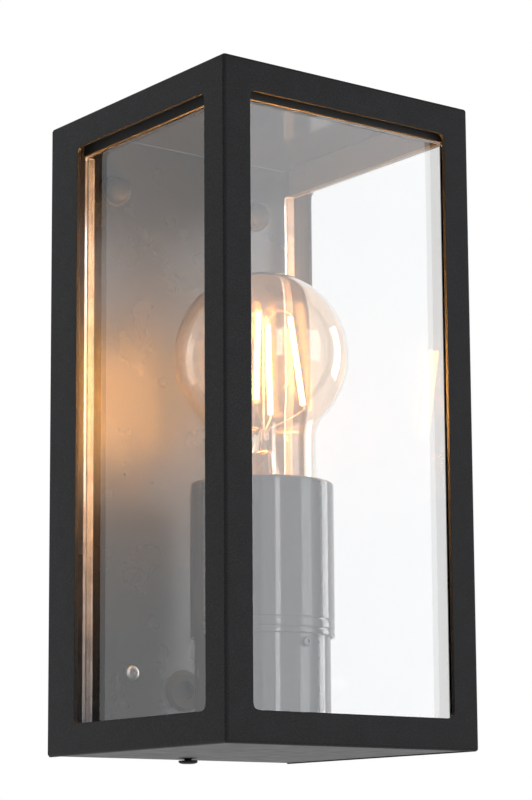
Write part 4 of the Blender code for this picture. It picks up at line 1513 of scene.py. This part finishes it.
@dataclass
class Holder:
    """The tube on the floor sheet, the sleeve over it and the lamp holder inside."""

    shop: Workshop
    sleeve_wall: float = 1.1 * MM
    sleeve_edge: float = 0.9 * MM
    bead_height: float = 3.4 * MM
    bead_width: float = 0.55 * MM
    bead_depth: float = 0.3 * MM
    tube_wall: float = 1.2 * MM
    flange: float = 7 * MM
    cable_hole: float = 3.8 * MM
    plate_hole: float = 1.4 * MM
    nipple_bore: float = 3.9 * MM
    nipple_pitch: float = 1 * MM
    nipple_groove: float = 0.5 * MM
    nut_flat: float = 7 * MM
    nut_play: float = 0.25 * MM
    nut_steps: int = 36
    groove_edge: float = 0.2 * MM
    lead_x: float = 10 * MM
    play: float = 0.3 * MM
    shell_pitch: float = 3.6 * MM
    shell_groove: float = 0.55 * MM
    shell_wall: float = 0.15 * MM

    def build(self) -> None:
        """Build every piece of the holder."""
        self.sleeve()
        self.tube()
        self.grub_screw()
        self.top_plate()
        self.nipple()
        self.nut()
        self.china_body()
        self.screw_shell()
        self.contact_tongue()
        for side in ("left", "right"):
            pan_screw(self.shop, f"tube_screw_{side}", Axis.UP)

    def sleeve(self) -> None:
        """Build the sleeve, with a rounded top and a pair of fine grooves above its lip."""
        low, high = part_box("holder_sleeve")
        outer, inner = (high.x - low.x) / 2, (high.x - low.x) / 2 - self.sleeve_wall
        profile = [(outer, high.z)]
        for index in (1, 0):
            middle = low.z + self.bead_height * (0.62 + index)
            profile += [
                (outer, middle + self.bead_width),
                (outer - self.bead_depth, middle + self.bead_width / 3),
                (outer - self.bead_depth, middle - self.bead_width / 3),
                (outer, middle - self.bead_width),
            ]
        profile += [(outer, low.z), (inner, low.z), (inner, high.z)]
        shape = lathe(profile, FINE_STEPS)
        top = high.z
        soften(shape, self.sleeve_edge, 5, HARD_EDGE, lambda edge: edge_at(edge, top, outer))
        soften(shape, self.groove_edge, 2, HARD_EDGE)
        lay(shape, foot_of("holder_sleeve"))
        self.shop.piece(shape, "sleeve_tube", Coat.SLEEVE, Body.CHASSIS, ("holder_sleeve",))

    def tube(self) -> None:
        """Build the tube below the sleeve, with its foot turned in."""
        low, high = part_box("base_tube")
        outer = (high.x - low.x) / 2
        inner, foot = outer - self.tube_wall, low.z + self.tube_wall
        profile = [
            (outer, high.z),
            (outer, low.z),
            (outer - self.flange, low.z),
            (outer - self.flange, foot),
            (inner, foot),
            (inner, high.z),
        ]
        shape = lay(lathe(profile, FINE_STEPS, 0.3 * MM), foot_of("base_tube"))
        self.shop.piece(shape, "foot_tube", Coat.SLEEVE, Body.CHASSIS, ("base_tube",))

    def grub_screw(self) -> None:
        """Build the small screw in the front of the tube, under the sleeve."""
        low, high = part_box("sleeve_screw")
        radius, height = (high.x - low.x) / 2, high.y - low.y
        profile = [
            (0, height * 0.45),
            (radius * 0.45, height * 0.45),
            (radius * 0.45, height),
            (radius * 0.8, height),
            (radius, height * 0.75),
            (radius, 0),
            (0, 0),
        ]
        shape = lay(lathe(profile, SMALL_STEPS, 0.08 * MM), back_of("sleeve_screw"), Axis.OUT)
        self.shop.piece(shape, "grub_screw", Coat.SLEEVE, Body.CHASSIS, ("sleeve_screw",))

    def top_plate(self) -> None:
        """Build the round plate that closes the tube under the holder."""
        low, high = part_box("holder_plate")
        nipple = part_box("holder_nipple")
        shape = bmesh.new()
        round_hole(shape, (0, 0), (high.x - low.x) / 2, FINE_STEPS)
        round_hole(shape, (0, 0), (nipple[1].x - nipple[0].x) / 2 + self.play, ROUND_STEPS)
        for x in (-self.lead_x, self.lead_x):
            round_hole(shape, (x, 0), self.plate_hole, HOLE_STEPS)
        stamp(shape, high.z - low.z, Matrix.Translation(centre_of("holder_plate")), 0.2 * MM)
        self.shop.piece(shape, "tube_top_plate", Coat.ZINC, Body.CHASSIS, ("holder_plate",))

    def nipple(self) -> None:
        """Build the hollow threaded nipple."""
        low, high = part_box("holder_nipple")
        radius, groove = (high.x - low.x) / 2, self.nipple_groove
        bottom, top = low.z + groove, high.z - groove
        shape = thread(radius, groove, self.nipple_pitch, bottom, top, ROUND_STEPS)
        ends = []
        for start, end in ((bottom, low.z), (top, high.z)):
            rim = grow(shape, rim_at(shape, start), end, radius - groove)
            ends.append(grow(shape, rim, end, self.nipple_bore))
        bmesh.ops.bridge_loops(shape, edges=ends[0] + ends[1])
        clean(shape)
        lay(shape, foot_of("holder_nipple"))
        self.shop.piece(shape, "nipple_tube", Coat.ZINC, Body.CHASSIS, ("holder_nipple",))

    def nut(self) -> None:
        """Build the hexagon nut on the nipple."""
        low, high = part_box("nipple_nut")
        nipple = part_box("holder_nipple")
        shape = bmesh.new()
        bmesh.ops.create_circle(shape, segments=6, radius=self.nut_flat / math.cos(math.pi / 6))
        bore = (nipple[1].x - nipple[0].x) / 2 + self.nut_play
        round_hole(shape, (0, 0), bore, self.nut_steps)
        stamp(shape, high.z - low.z, Matrix.Translation(centre_of("nipple_nut")), 0.3 * MM)
        self.shop.piece(shape, "hexagon_nut", Coat.ZINC, Body.CHASSIS, ("nipple_nut",))

    def china_body(self) -> None:
        """Build the glazed body that holds the screw shell."""
        low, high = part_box("holder_body")
        shell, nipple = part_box("holder_thread"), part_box("holder_nipple")
        outer = (high.x - low.x) / 2
        bore = (shell[1].x - shell[0].x) / 2 + self.play
        neck = (nipple[1].x - nipple[0].x) / 2 + self.play
        seat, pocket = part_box("holder_contact")[0].z - self.play, nipple[1].z + self.play
        profile = [
            (0, seat),
            (bore, seat),
            (bore, high.z),
            (outer - 1.6 * MM, high.z),
            (outer - 0.5 * MM, high.z - 0.6 * MM),
            (outer, high.z - 2 * MM),
            (outer, low.z + 8 * MM),
            (outer - 1 * MM, low.z + 7 * MM),
            (outer - 1 * MM, low.z),
            (neck, low.z),
            (neck, pocket),
            (0, pocket),
        ]
        shape = lay(lathe(profile, FINE_STEPS, 0.35 * MM), foot_of("holder_body"))
        self.shop.piece(shape, "china_body", Coat.PORCELAIN, Body.CHASSIS, ("holder_body",))

    def screw_shell(self) -> None:
        """Build the brass screw shell from its thread and a thin wall."""
        low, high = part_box("holder_thread")
        radius = (high.x - low.x) / 2
        shape = thread(radius, self.shell_groove, self.shell_pitch, low.z, high.z, ROUND_STEPS)
        lay(shape, foot_of("holder_thread"))
        item = self.shop.piece(shape, "brass_shell", Coat.BRASS, Body.CHASSIS, ("holder_thread",))
        thin_wall(item, self.shell_wall)

    def contact_tongue(self) -> None:
        """Build the sprung contact under the lamp."""
        low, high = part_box("holder_contact")
        radius, height = (high.x - low.x) / 2, high.z - low.z
        profile = [
            (0, height),
            (radius * 0.4, height),
            (radius * 0.75, height * 0.7),
            (radius * 0.82, height * 0.35),
            (radius, height * 0.2),
            (radius, 0),
            (0, 0),
        ]
        place = foot_of("holder_contact") + Vector((0, 0, low.z))
        shape = lay(lathe(profile, SMALL_STEPS, 0.12 * MM), place)
        self.shop.piece(shape, "contact_tongue", Coat.BRASS, Body.CHASSIS, ("holder_contact",))


def edge_at(edge: bmesh.types.BMEdge, height: float, radius: float) -> bool:
    """Tell whether an edge lies on a circle round the Z axis, at a height."""
    return all(
        abs(point.co.z - height) < NEAR and abs(point.co.xy.length - radius) < NEAR
        for point in edge.verts
    )


def thin_wall(item: bpy.types.Object, wall: float) -> None:
    """Give an open piece its wall, on the inside.

    Args:
        item: The piece.
        wall: The wall's thickness.
    """
    solid = item.modifiers.new("wall", "SOLIDIFY")
    solid.thickness = wall
    solid.offset = -1
    solid.use_even_offset = True


@dataclass
class Wiring:
    """The terminal block, its screws, and the two leads up to the holder."""

    shop: Workshop
    screw_x: float = 5 * MM
    lead_x: float = 10 * MM
    lead_radius: float = 1.1 * MM
    screw_radius: float = 1.6 * MM
    well_radius: float = 1.9 * MM
    well_depth: float = 6 * MM
    lead_play: float = 0.3 * MM
    block_corner: float = 1.2 * MM
    block_edge: float = 0.35 * MM

    def build(self) -> None:
        """Build the block, the screws and the leads."""
        low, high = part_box("terminal_block")
        depth = high.y - low.y
        self.front, self.rear = low.y + depth / 4, low.y + depth * 3 / 4
        self.block(low, high)
        for name, side, coat in (("live", -1, Coat.LIVE), ("neutral", 1, Coat.NEUTRAL)):
            self.clamp_screw(f"terminal_screw_{name}")
            self.lead(f"{name}_lead", side, coat, high.z)

    def block(self, low: Vector, high: Vector) -> None:
        """Build the moulded block, with a well for each screw and lead."""
        shape = bmesh.new()
        outline(shape, low, high, self.block_corner)
        wells = ((self.front, self.well_radius), (self.rear, self.lead_radius + self.lead_play))
        holes = [
            round_hole(shape, (side * self.screw_x, y), radius, HOLE_STEPS)
            for side in (-1, 1)
            for y, radius in wells
        ]
        bmesh.ops.triangle_fill(shape, use_beauty=True, edges=shape.edges, normal=(0, 0, 1))
        top = list({point for edge in shape.edges for point in edge.verts})
        bmesh.ops.translate(shape, vec=(0, 0, high.z), verts=top)
        for hole in holes:
            grown = bmesh.ops.extrude_edge_only(shape, edges=hole)["geom"]
            bmesh.ops.translate(shape, vec=(0, 0, -self.well_depth), verts=verts_in(grown))
        outer = [
            edge for edge in shape.edges if edge.is_boundary and edge.verts[0].co.z > high.z - WELD
        ]
        grown = bmesh.ops.extrude_edge_only(shape, edges=outer)["geom"]
        bmesh.ops.translate(shape, vec=(0, 0, low.z - high.z), verts=verts_in(grown))
        bmesh.ops.holes_fill(shape, edges=[edge for edge in shape.edges if edge.is_boundary], sides=0)
        clean(shape)
        soften(shape, self.block_edge, 3, HARD_EDGE)
        self.shop.piece(shape, "terminal_moulding", Coat.TERMINAL, Body.CHASSIS, ("terminal_block",))

    def clamp_screw(self, node: str) -> None:
        """Build one slotted brass screw, down in its well."""
        low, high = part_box(node)
        head = self.screw_radius
        shape = screw_shape(head, head, 1.05 * MM, high.z - low.z - head, Recess.SLOT, 0.4 * MM)
        lay(shape, foot_of(node) + Vector((0, 0, high.z - head)))
        name = node.replace("terminal", "clamp")
        self.shop.piece(shape, name, Coat.BRASS, Body.CHASSIS, (node,))

    def lead(self, node: str, side: int, coat: Coat, top: float) -> None:
        """Build one lead, from its well up through the plate."""
        plate_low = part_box("holder_plate")[0].z
        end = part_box(node)[1].z
        x, y, centre_y = side * self.screw_x, self.rear, centre_of("holder_plate").y
        stops = [
            (x, y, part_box(node)[0].z),
            (x, y, top),
            (x, y, top + 3 * MM),
            (side * (self.lead_x + 4 * MM), y + 1 * MM, top + 17 * MM),
            (side * self.lead_x, centre_y, plate_low - 5 * MM),
            (side * self.lead_x, centre_y, end),
        ]
        shape = bmesh.new()
        rod(shape, curve_through(stops, 60), self.lead_radius, 16)
        clean(shape)
        name = f"{node}_wire"
        self.shop.piece(shape, name, coat, Body.CHASSIS, (node,))


@dataclass
class Lamp:
    """The filament lamp: tinted glass, stem, filaments, their wires and the screw cap."""

    shop: Workshop
    wall: float = 0.8 * MM
    globe_end: float = 135.0
    neck: float = 18.5 * MM
    neck_top_rise: float = 28.7 * MM
    neck_bottom_rise: float = 8.7 * MM
    mouth: float = 12.8 * MM
    film_gap: float = 0.25 * MM
    film: float = 0.06 * MM
    stem_radius: float = 4.7 * MM
    stick_bounds: float = 1 * MM
    stick_radius: float = 0.95 * MM
    wire_radius: float = 0.22 * MM
    hub_radius: float = 1.5 * MM
    post_radius: float = 0.3 * MM
    coil_turns: int = 5
    coil_steps: int = 14
    coil_pitch: float = 0.62 * MM
    cap_pitch: float = 3.6 * MM
    cap_groove: float = 0.9 * MM

    def build(self) -> None:
        """Build every piece of the lamp."""
        low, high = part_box("lamp_glass")
        self.axis = foot_of("lamp_glass")
        self.radius, self.top, self.bottom = (high.x - low.x) / 2, high.z, low.z
        self.neck_top = self.bottom + self.neck_top_rise
        self.neck_bottom = self.bottom + self.neck_bottom_rise
        self.stem_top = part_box("lamp_stem")[1].z
        self.glass()
        self.stem()
        for name in ("front", "right", "left", "rear"):
            self.filament(name)
        self.wires()
        self.cap()
        self.insulator()
        self.tip()

    def half_outline(self, inset: float) -> list[tuple[float, float]]:
        """Return the bulb's profile from crown to mouth, drawn in by a distance."""
        radius, neck = self.radius - inset, self.neck - inset
        widest = self.top - self.radius
        globe = [
            (radius * math.sin(a), widest + radius * math.cos(a))
            for a in (math.radians(self.globe_end * step / 30) for step in range(31))
        ]
        edge, height = globe[-1]
        throat = leaning(globe[-1], (neck, height - (edge - neck)), (neck, self.neck_top))
        collar, mouth = (neck, self.neck_bottom), (self.mouth - inset, self.bottom)
        bend = (neck, (self.neck_bottom + self.bottom) / 2)
        return [*globe, *throat, collar, *leaning(collar, bend, mouth)]

    def glass(self) -> None:
        """Build the bulb's wall, and the thin film on its inside."""
        outer, inner = self.half_outline(0.0), self.half_outline(self.wall)
        shape = lay(lathe([*outer, *reversed(inner)], FINE_STEPS), self.axis)
        glass = self.shop.piece(shape, "bulb_glass", Coat.BULB, Body.LAMP, ("lamp_glass",))
        glass.visible_shadow = False
        start = self.wall + self.film_gap
        outer, inner = self.half_outline(start), self.half_outline(start + self.film)
        shape = lay(lathe([*outer, *reversed(inner)], FINE_STEPS), self.axis)
        film = self.shop.piece(shape, "bulb_film", Coat.BULB, Body.LAMP, (), self.shop.film)
        film.visible_shadow = False

    def stem(self) -> None:
        """Build the glass stem with its pinched head and flare."""
        top, radius = self.stem_top, self.stem_radius
        profile = [
            (0, top),
            (radius * 0.55, top - 0.2 * MM),
            (radius * 0.85, top - 1.2 * MM),
            (radius, top - 3.5 * MM),
            (radius * 0.92, top - 8 * MM),
            (radius, top - 12 * MM),
            (radius * 1.35, top - 17.5 * MM),
            (radius * 2.1, self.neck_bottom),
            (radius * 1.9, self.neck_bottom - 0.3 * MM),
            (radius * 1.1, top - 18.5 * MM),
            (radius * 0.72, top - 13 * MM),
            (radius * 0.62, top - 8.5 * MM),
            (0, top - 7.5 * MM),
        ]
        shape = lathe(profile, ROUND_STEPS, 0.2 * MM)
        press = [point for point in shape.verts if point.co.z > top - 6 * MM]
        bmesh.ops.scale(shape, vec=(1.0, 0.72, 1.0), verts=press)
        stem = self.shop.piece(lay(shape, self.axis), "stem_glass", Coat.BULB, Body.LAMP, ("lamp_stem",))
        stem.visible_shadow = False

    def ends_of(self, name: str) -> tuple[Vector, Vector]:
        """Return the lower and upper end of a filament, on its middle line."""
        low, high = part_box(f"filament_{name}")
        middle = centre_of(f"filament_{name}") - self.axis
        radius, least = self.stick_bounds, 0.2
        outward = Vector((middle.x, middle.y, 0)).normalized()
        reach = [
            max(abs(low[k] - self.axis[k]), abs(high[k] - self.axis[k])) - radius for k in (0, 1)
        ]
        near = [
            min(abs(low[k] - self.axis[k]), abs(high[k] - self.axis[k])) + radius for k in (0, 1)
        ]
        shares = [max(abs(outward[k]), least) for k in (0, 1)]
        wide = max(far / share for far, share in zip(reach, shares))
        slim = min(close / share for close, share in zip(near, shares))
        slim, wide = min(slim, wide), max(slim, wide)
        return (
            self.axis + outward * wide + Vector((0, 0, low.z + 0.2 * MM)),
            self.axis + outward * slim + Vector((0, 0, high.z - 0.2 * MM)),
        )

    def filament(self, name: str) -> None:
        """Build one glowing stick with rounded ends."""
        low, high = self.ends_of(name)
        along = (high - low).normalized()
        length, radius = (high - low).length, self.stick_radius
        half = length / 2
        profile = [
            (0, half),
            (radius * 0.7, half - 0.15 * MM),
            (radius, half - 0.6 * MM),
            (radius, -half + 0.6 * MM),
            (radius * 0.7, -half + 0.15 * MM),
            (0, -half),
        ]
        shape = lathe(profile, SMALL_STEPS, 0.1 * MM)
        turn = along.to_track_quat("Z", "Y").to_matrix().to_4x4()
        place = Matrix.Translation((low + high) / 2)
        bmesh.ops.transform(shape, matrix=place @ turn, verts=shape.verts)
        node = f"filament_{name}"
        self.shop.piece(shape, f"{node}_stick", Coat.FILAMENT, Body.LAMP, (node,))

    def wires(self) -> None:
        """Build the fine wires that hold the filaments: a coiled hub above, a spray below."""
        upper, lower = bmesh.new(), bmesh.new()
        hub = self.axis + Vector((0, 0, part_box("filament_ring_upper")[0].z - 3 * MM))
        foot = self.axis + Vector((0, 0, self.stem_top - 0.4 * MM))
        for name in ("front", "right", "left", "rear"):
            low, high = self.ends_of(name)
            across = Vector((high.x - self.axis.x, high.y - self.axis.y, 0)).normalized()
            stops = [
                high - Vector((0, 0, 0.6 * MM)),
                high + Vector((0, 0, 1.2 * MM)),
                hub + across * 5 * MM + Vector((0, 0, 3.6 * MM)),
                hub + across * self.hub_radius,
            ]
            rod(upper, curve_through(stops, 14), self.wire_radius, WIRE_STEPS)
            stops = [
                low + Vector((0, 0, 0.6 * MM)),
                low - Vector((0, 0, 1.6 * MM)),
                foot + across * 6 * MM + Vector((0, 0, 2.2 * MM)),
                foot + across * 1.4 * MM,
                foot + across * 1.1 * MM - Vector((0, 0, 4 * MM)),
            ]
            rod(lower, curve_through(stops, 16), self.wire_radius, WIRE_STEPS)
        coil = []
        for step in range(self.coil_turns * self.coil_steps + 1):
            turned = step / self.coil_steps
            spoke = Vector((math.cos(FULL_TURN * turned), math.sin(FULL_TURN * turned), 0))
            rise = (turned - self.coil_turns / 2) * self.coil_pitch
            coil.append(hub + spoke * self.hub_radius + Vector((0, 0, rise)))
        rod(upper, coil, self.wire_radius, WIRE_STEPS)
        post = [foot - Vector((0, 0, 3 * MM)), foot, hub + Vector((0, 0, 2 * MM))]
        rod(upper, post, self.post_radius, WIRE_STEPS)
        for shape, name, node in (
            (upper, "upper_support_wires", "filament_ring_upper"),
            (lower, "lower_support_wires", "filament_ring_lower"),
        ):
            clean(shape)
            self.shop.piece(shape, name, Coat.LAMP_METAL, Body.LAMP, (node,))

    def cap(self) -> None:
        """Build the screw cap: a rolled thread between a collar and a rounded foot."""
        low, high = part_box("lamp_cap")
        radius = (high.x - low.x) / 2
        start, end = low.z + 2 * MM, high.z - 3.4 * MM
        shape = thread(radius, self.cap_groove, self.cap_pitch, start, end, ROUND_STEPS)
        rim = rim_at(shape, end)
        for height, size in (
            (end + 0.7 * MM, radius - 0.9 * MM),
            (high.z - 1.4 * MM, radius - 0.7 * MM),
            (high.z - 0.9 * MM, radius),
            (high.z, radius),
        ):
            rim = grow(shape, rim, height, size)
        bmesh.ops.edgeloop_fill(shape, edges=rim)
        rim = rim_at(shape, start)
        for height, size in (
            (low.z + 1.2 * MM, radius - 1 * MM),
            (low.z + 0.4 * MM, radius - 1.3 * MM),
            (low.z, radius - 2 * MM),
        ):
            rim = grow(shape, rim, height, size)
        bmesh.ops.edgeloop_fill(shape, edges=rim)
        clean(shape)
        self.shop.piece(lay(shape, self.axis), "screw_cap", Coat.LAMP_METAL, Body.LAMP, ("lamp_cap",))

    def insulator(self) -> None:
        """Build the dark glass bead under the cap."""
        low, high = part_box("lamp_insulator")
        radius, height = (high.x - low.x) / 2, high.z - low.z
        profile = [
            (0, height),
            (radius * 0.88, height),
            (radius * 0.9, height * 0.8),
            (radius * 0.74, height * 0.45),
            (radius * 0.5, height * 0.2),
            (radius * 0.36, 0),
            (0, 0),
        ]
        shape = lay(lathe(profile, ROUND_STEPS, 0.2 * MM), self.axis + Vector((0, 0, low.z)))
        name = "cap_bead"
        self.shop.piece(shape, name, Coat.INSULATOR, Body.LAMP, ("lamp_insulator",))

    def tip(self) -> None:
        """Build the contact at the foot of the lamp, with its solder bead."""
        low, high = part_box("lamp_contact")
        radius, height = (high.x - low.x) / 2, high.z - low.z
        profile = [
            (0, height),
            (radius, height),
            (radius, height * 0.6),
            (radius * 0.85, height * 0.3),
            (radius * 0.45, height * 0.12),
            (0, 0),
        ]
        shape = lay(lathe(profile, SMALL_STEPS, 0.12 * MM), self.axis + Vector((0, 0, low.z)))
        self.shop.piece(shape, "cap_contact", Coat.LAMP_METAL, Body.LAMP, ("lamp_contact",))


def leaning(
    start: tuple[float, float], bend: tuple[float, float], end: tuple[float, float], count: int = 12
) -> list[tuple[float, float]]:
    """Return points on a curve that leans towards bend, without its start.

    Args:
        start: Where the curve begins.
        bend: The point that it leans towards.
        end: Where it ends.
        count: How many points are made.

    Returns:
        The points.
    """
    points = []
    for step in range(1, count + 1):
        t = step / count
        parts = ((1 - t) ** 2, 2 * t * (1 - t), t**2)
        points.append(
            tuple(sum(k * p[axis] for k, p in zip(parts, (start, bend, end))) for axis in (0, 1))
        )
    return points


@dataclass
class LockScrew:
    """The screw under the cage that locks it to the floor sheet."""

    shop: Workshop
    head: float = 3.5 * MM
    head_height: float = 1.2 * MM
    shank: float = 1.45 * MM

    def build(self) -> None:
        """Build the screw, its head down."""
        low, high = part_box("lock_screw")
        shape = screw_shape(self.head, self.head_height, self.shank, high.z - low.z - self.head_height)
        over = Matrix.Rotation(math.pi, 4, "X")
        bmesh.ops.transform(shape, matrix=over, verts=shape.verts)
        lay(shape, foot_of("lock_screw") + Vector((0, 0, low.z + self.head_height)))
        self.shop.piece(shape, "lock_pan_screw", Coat.CAGE, Body.LOCK_SCREW, ("lock_screw",))


@dataclass(frozen=True)
class Panel:
    """One soft light panel, aimed at the lantern."""

    name: str
    azimuth: float
    elevation: float
    distance: float
    size: tuple[float, float]
    radiance: float
    colour: Colour = (1.0, 1.0, 1.0)
    seen_through: bool = False

    def build(self, target: Vector) -> None:
        """Hang the panel.

        Args:
            target: The point that it faces.
        """
        data = bpy.data.lights.new(self.name, "AREA")
        data.shape = "RECTANGLE"
        data.size, data.size_y = self.size
        data.energy = self.radiance * math.pi * self.size[0] * self.size[1]
        data.color = self.colour
        lamp = bpy.data.objects.new(self.name, data)
        bpy.context.scene.collection.objects.link(lamp)
        turn, rise = math.radians(self.azimuth), math.radians(self.elevation)
        away = Vector(
            (math.sin(turn) * math.cos(rise), -math.cos(turn) * math.cos(rise), math.sin(rise))
        )
        lamp.location = target + away * self.distance
        lamp.rotation_mode = "QUATERNION"
        lamp.rotation_quaternion = away.to_track_quat("Z", "Y")
        lamp.visible_camera = False
        lamp.visible_transmission = self.seen_through


@dataclass
class Studio:
    """A plain pale floor, an even pale surround and soft panels."""

    shop: Workshop
    floor_drop: float = 0.34
    floor_radius: float = 6.0
    seen: float = 1.0
    through: float = 0.84
    ambient: float = 0.29
    panels: tuple[Panel, ...] = field(
        default=(
            Panel("right_softbox", 36.0, 9.5, 1.6, (0.55, 0.95), 2.75, (0.93, 0.96, 1.0), True),
            Panel("rear_left_panel", 217.0, 12.0, 1.6, (1.3, 1.5), 0.76, (0.94, 0.97, 1.0)),
            Panel("front_strip", -15.0, 9.0, 1.6, (0.22, 1.0), 5.5, seen_through=True),
            Panel("right_strip", 82.0, 9.0, 1.6, (0.5, 1.0), 4.0, seen_through=True),
            Panel("overhead_panel", -40.0, 62.0, 1.8, (1.2, 1.2), 1.0),
            Panel("left_fill", -75.0, 10.0, 2.0, (0.9, 1.4), 0.35),
        )
    )

    def build(self) -> None:
        """Lay the floor, set the surround and hang the panels."""
        low, high = CAD_BOX
        target = (Vector(low) + Vector(high)) / 2
        shape = bmesh.new()
        bmesh.ops.create_circle(
            shape,
            cap_ends=True,
            segments=128,
            radius=self.floor_radius,
            matrix=Matrix.Translation((0, 0, low[2] - self.floor_drop)),
        )
        mesh = bpy.data.meshes.new("studio_floor")
        shape.to_mesh(mesh)
        shape.free()
        mesh.materials.append(FLOOR_FINISH.build())
        floor = bpy.data.objects.new("studio_floor", mesh)
        bpy.context.scene.collection.objects.link(floor)
        self.surround()
        for panel in self.panels:
            panel.build(target)

    def surround(self) -> None:
        """Set an even surround, brighter where it is seen than where it lights."""
        world = bpy.data.worlds.new("studio")
        world.use_nodes = True
        tree = world.node_tree
        rays = tree.nodes.new("ShaderNodeLightPath")
        level = None
        for ray, strength in (("Is Camera Ray", self.seen), ("Is Transmission Ray", self.through)):
            step = tree.nodes.new("ShaderNodeMath")
            step.operation = "MULTIPLY_ADD"
            step.inputs[1].default_value = strength - self.ambient
            step.inputs[2].default_value = self.ambient
            tree.links.new(rays.outputs[ray], step.inputs[0])
            if level is not None:
                tree.links.new(level, step.inputs[2])
            level = step.outputs["Value"]
        tree.links.new(level, tree.nodes["Background"].inputs["Strength"])
        tree.nodes["Background"].inputs["Color"].default_value = (1, 1, 1, 1)
        bpy.context.scene.world = world


@dataclass(frozen=True)
class Viewpoint:
    """The camera, below and to the left of the lantern."""

    azimuth: float = 36.9478
    elevation: float = 9.12684
    roll: float = -0.36525
    place: tuple[float, float, float] = (-0.52286, -0.75337, -0.15814)
    lens: float = 111.91
    sensor: float = 36.0
    shift_y: float = 0.1

    def build(self) -> None:
        """Place the camera and make it the scene's own."""
        turn, rise, roll = (math.radians(a) for a in (self.azimuth, self.elevation, self.roll))
        ahead = Vector(
            (math.sin(turn) * math.cos(rise), math.cos(turn) * math.cos(rise), math.sin(rise))
        )
        level_right = ahead.cross(Vector((0, 0, 1))).normalized()
        level_up = level_right.cross(ahead)
        right = math.cos(roll) * level_right + math.sin(roll) * level_up
        up = math.cos(roll) * level_up - math.sin(roll) * level_right
        data = bpy.data.cameras.new("camera")
        data.lens, data.sensor_width, data.shift_y = self.lens, self.sensor, self.shift_y
        camera = bpy.data.objects.new("camera", data)
        bpy.context.scene.collection.objects.link(camera)
        camera.matrix_world = Matrix.Translation(self.place) @ Matrix(
            (right, up, -ahead)
        ).transposed().to_4x4()
        bpy.context.scene.camera = camera


def write_sizes() -> None:
    """Update the view layer, so that every object's place is current."""
    bpy.context.view_layer.update()


def main() -> None:
    """Build the lantern, the studio and the camera."""
    bpy.context.scene.view_settings.view_transform = "Standard"
    Viewpoint().build()
    shop = Workshop()
    for assembly in (Cage, Shade, Chassis, WallMount, Holder, Wiring, Lamp, LockScrew):
        assembly(shop).build()
        LOG.info("%s done", assembly.__name__)
    Studio(shop).build()
    write_sizes()


if __name__ == "__main__":
    main()
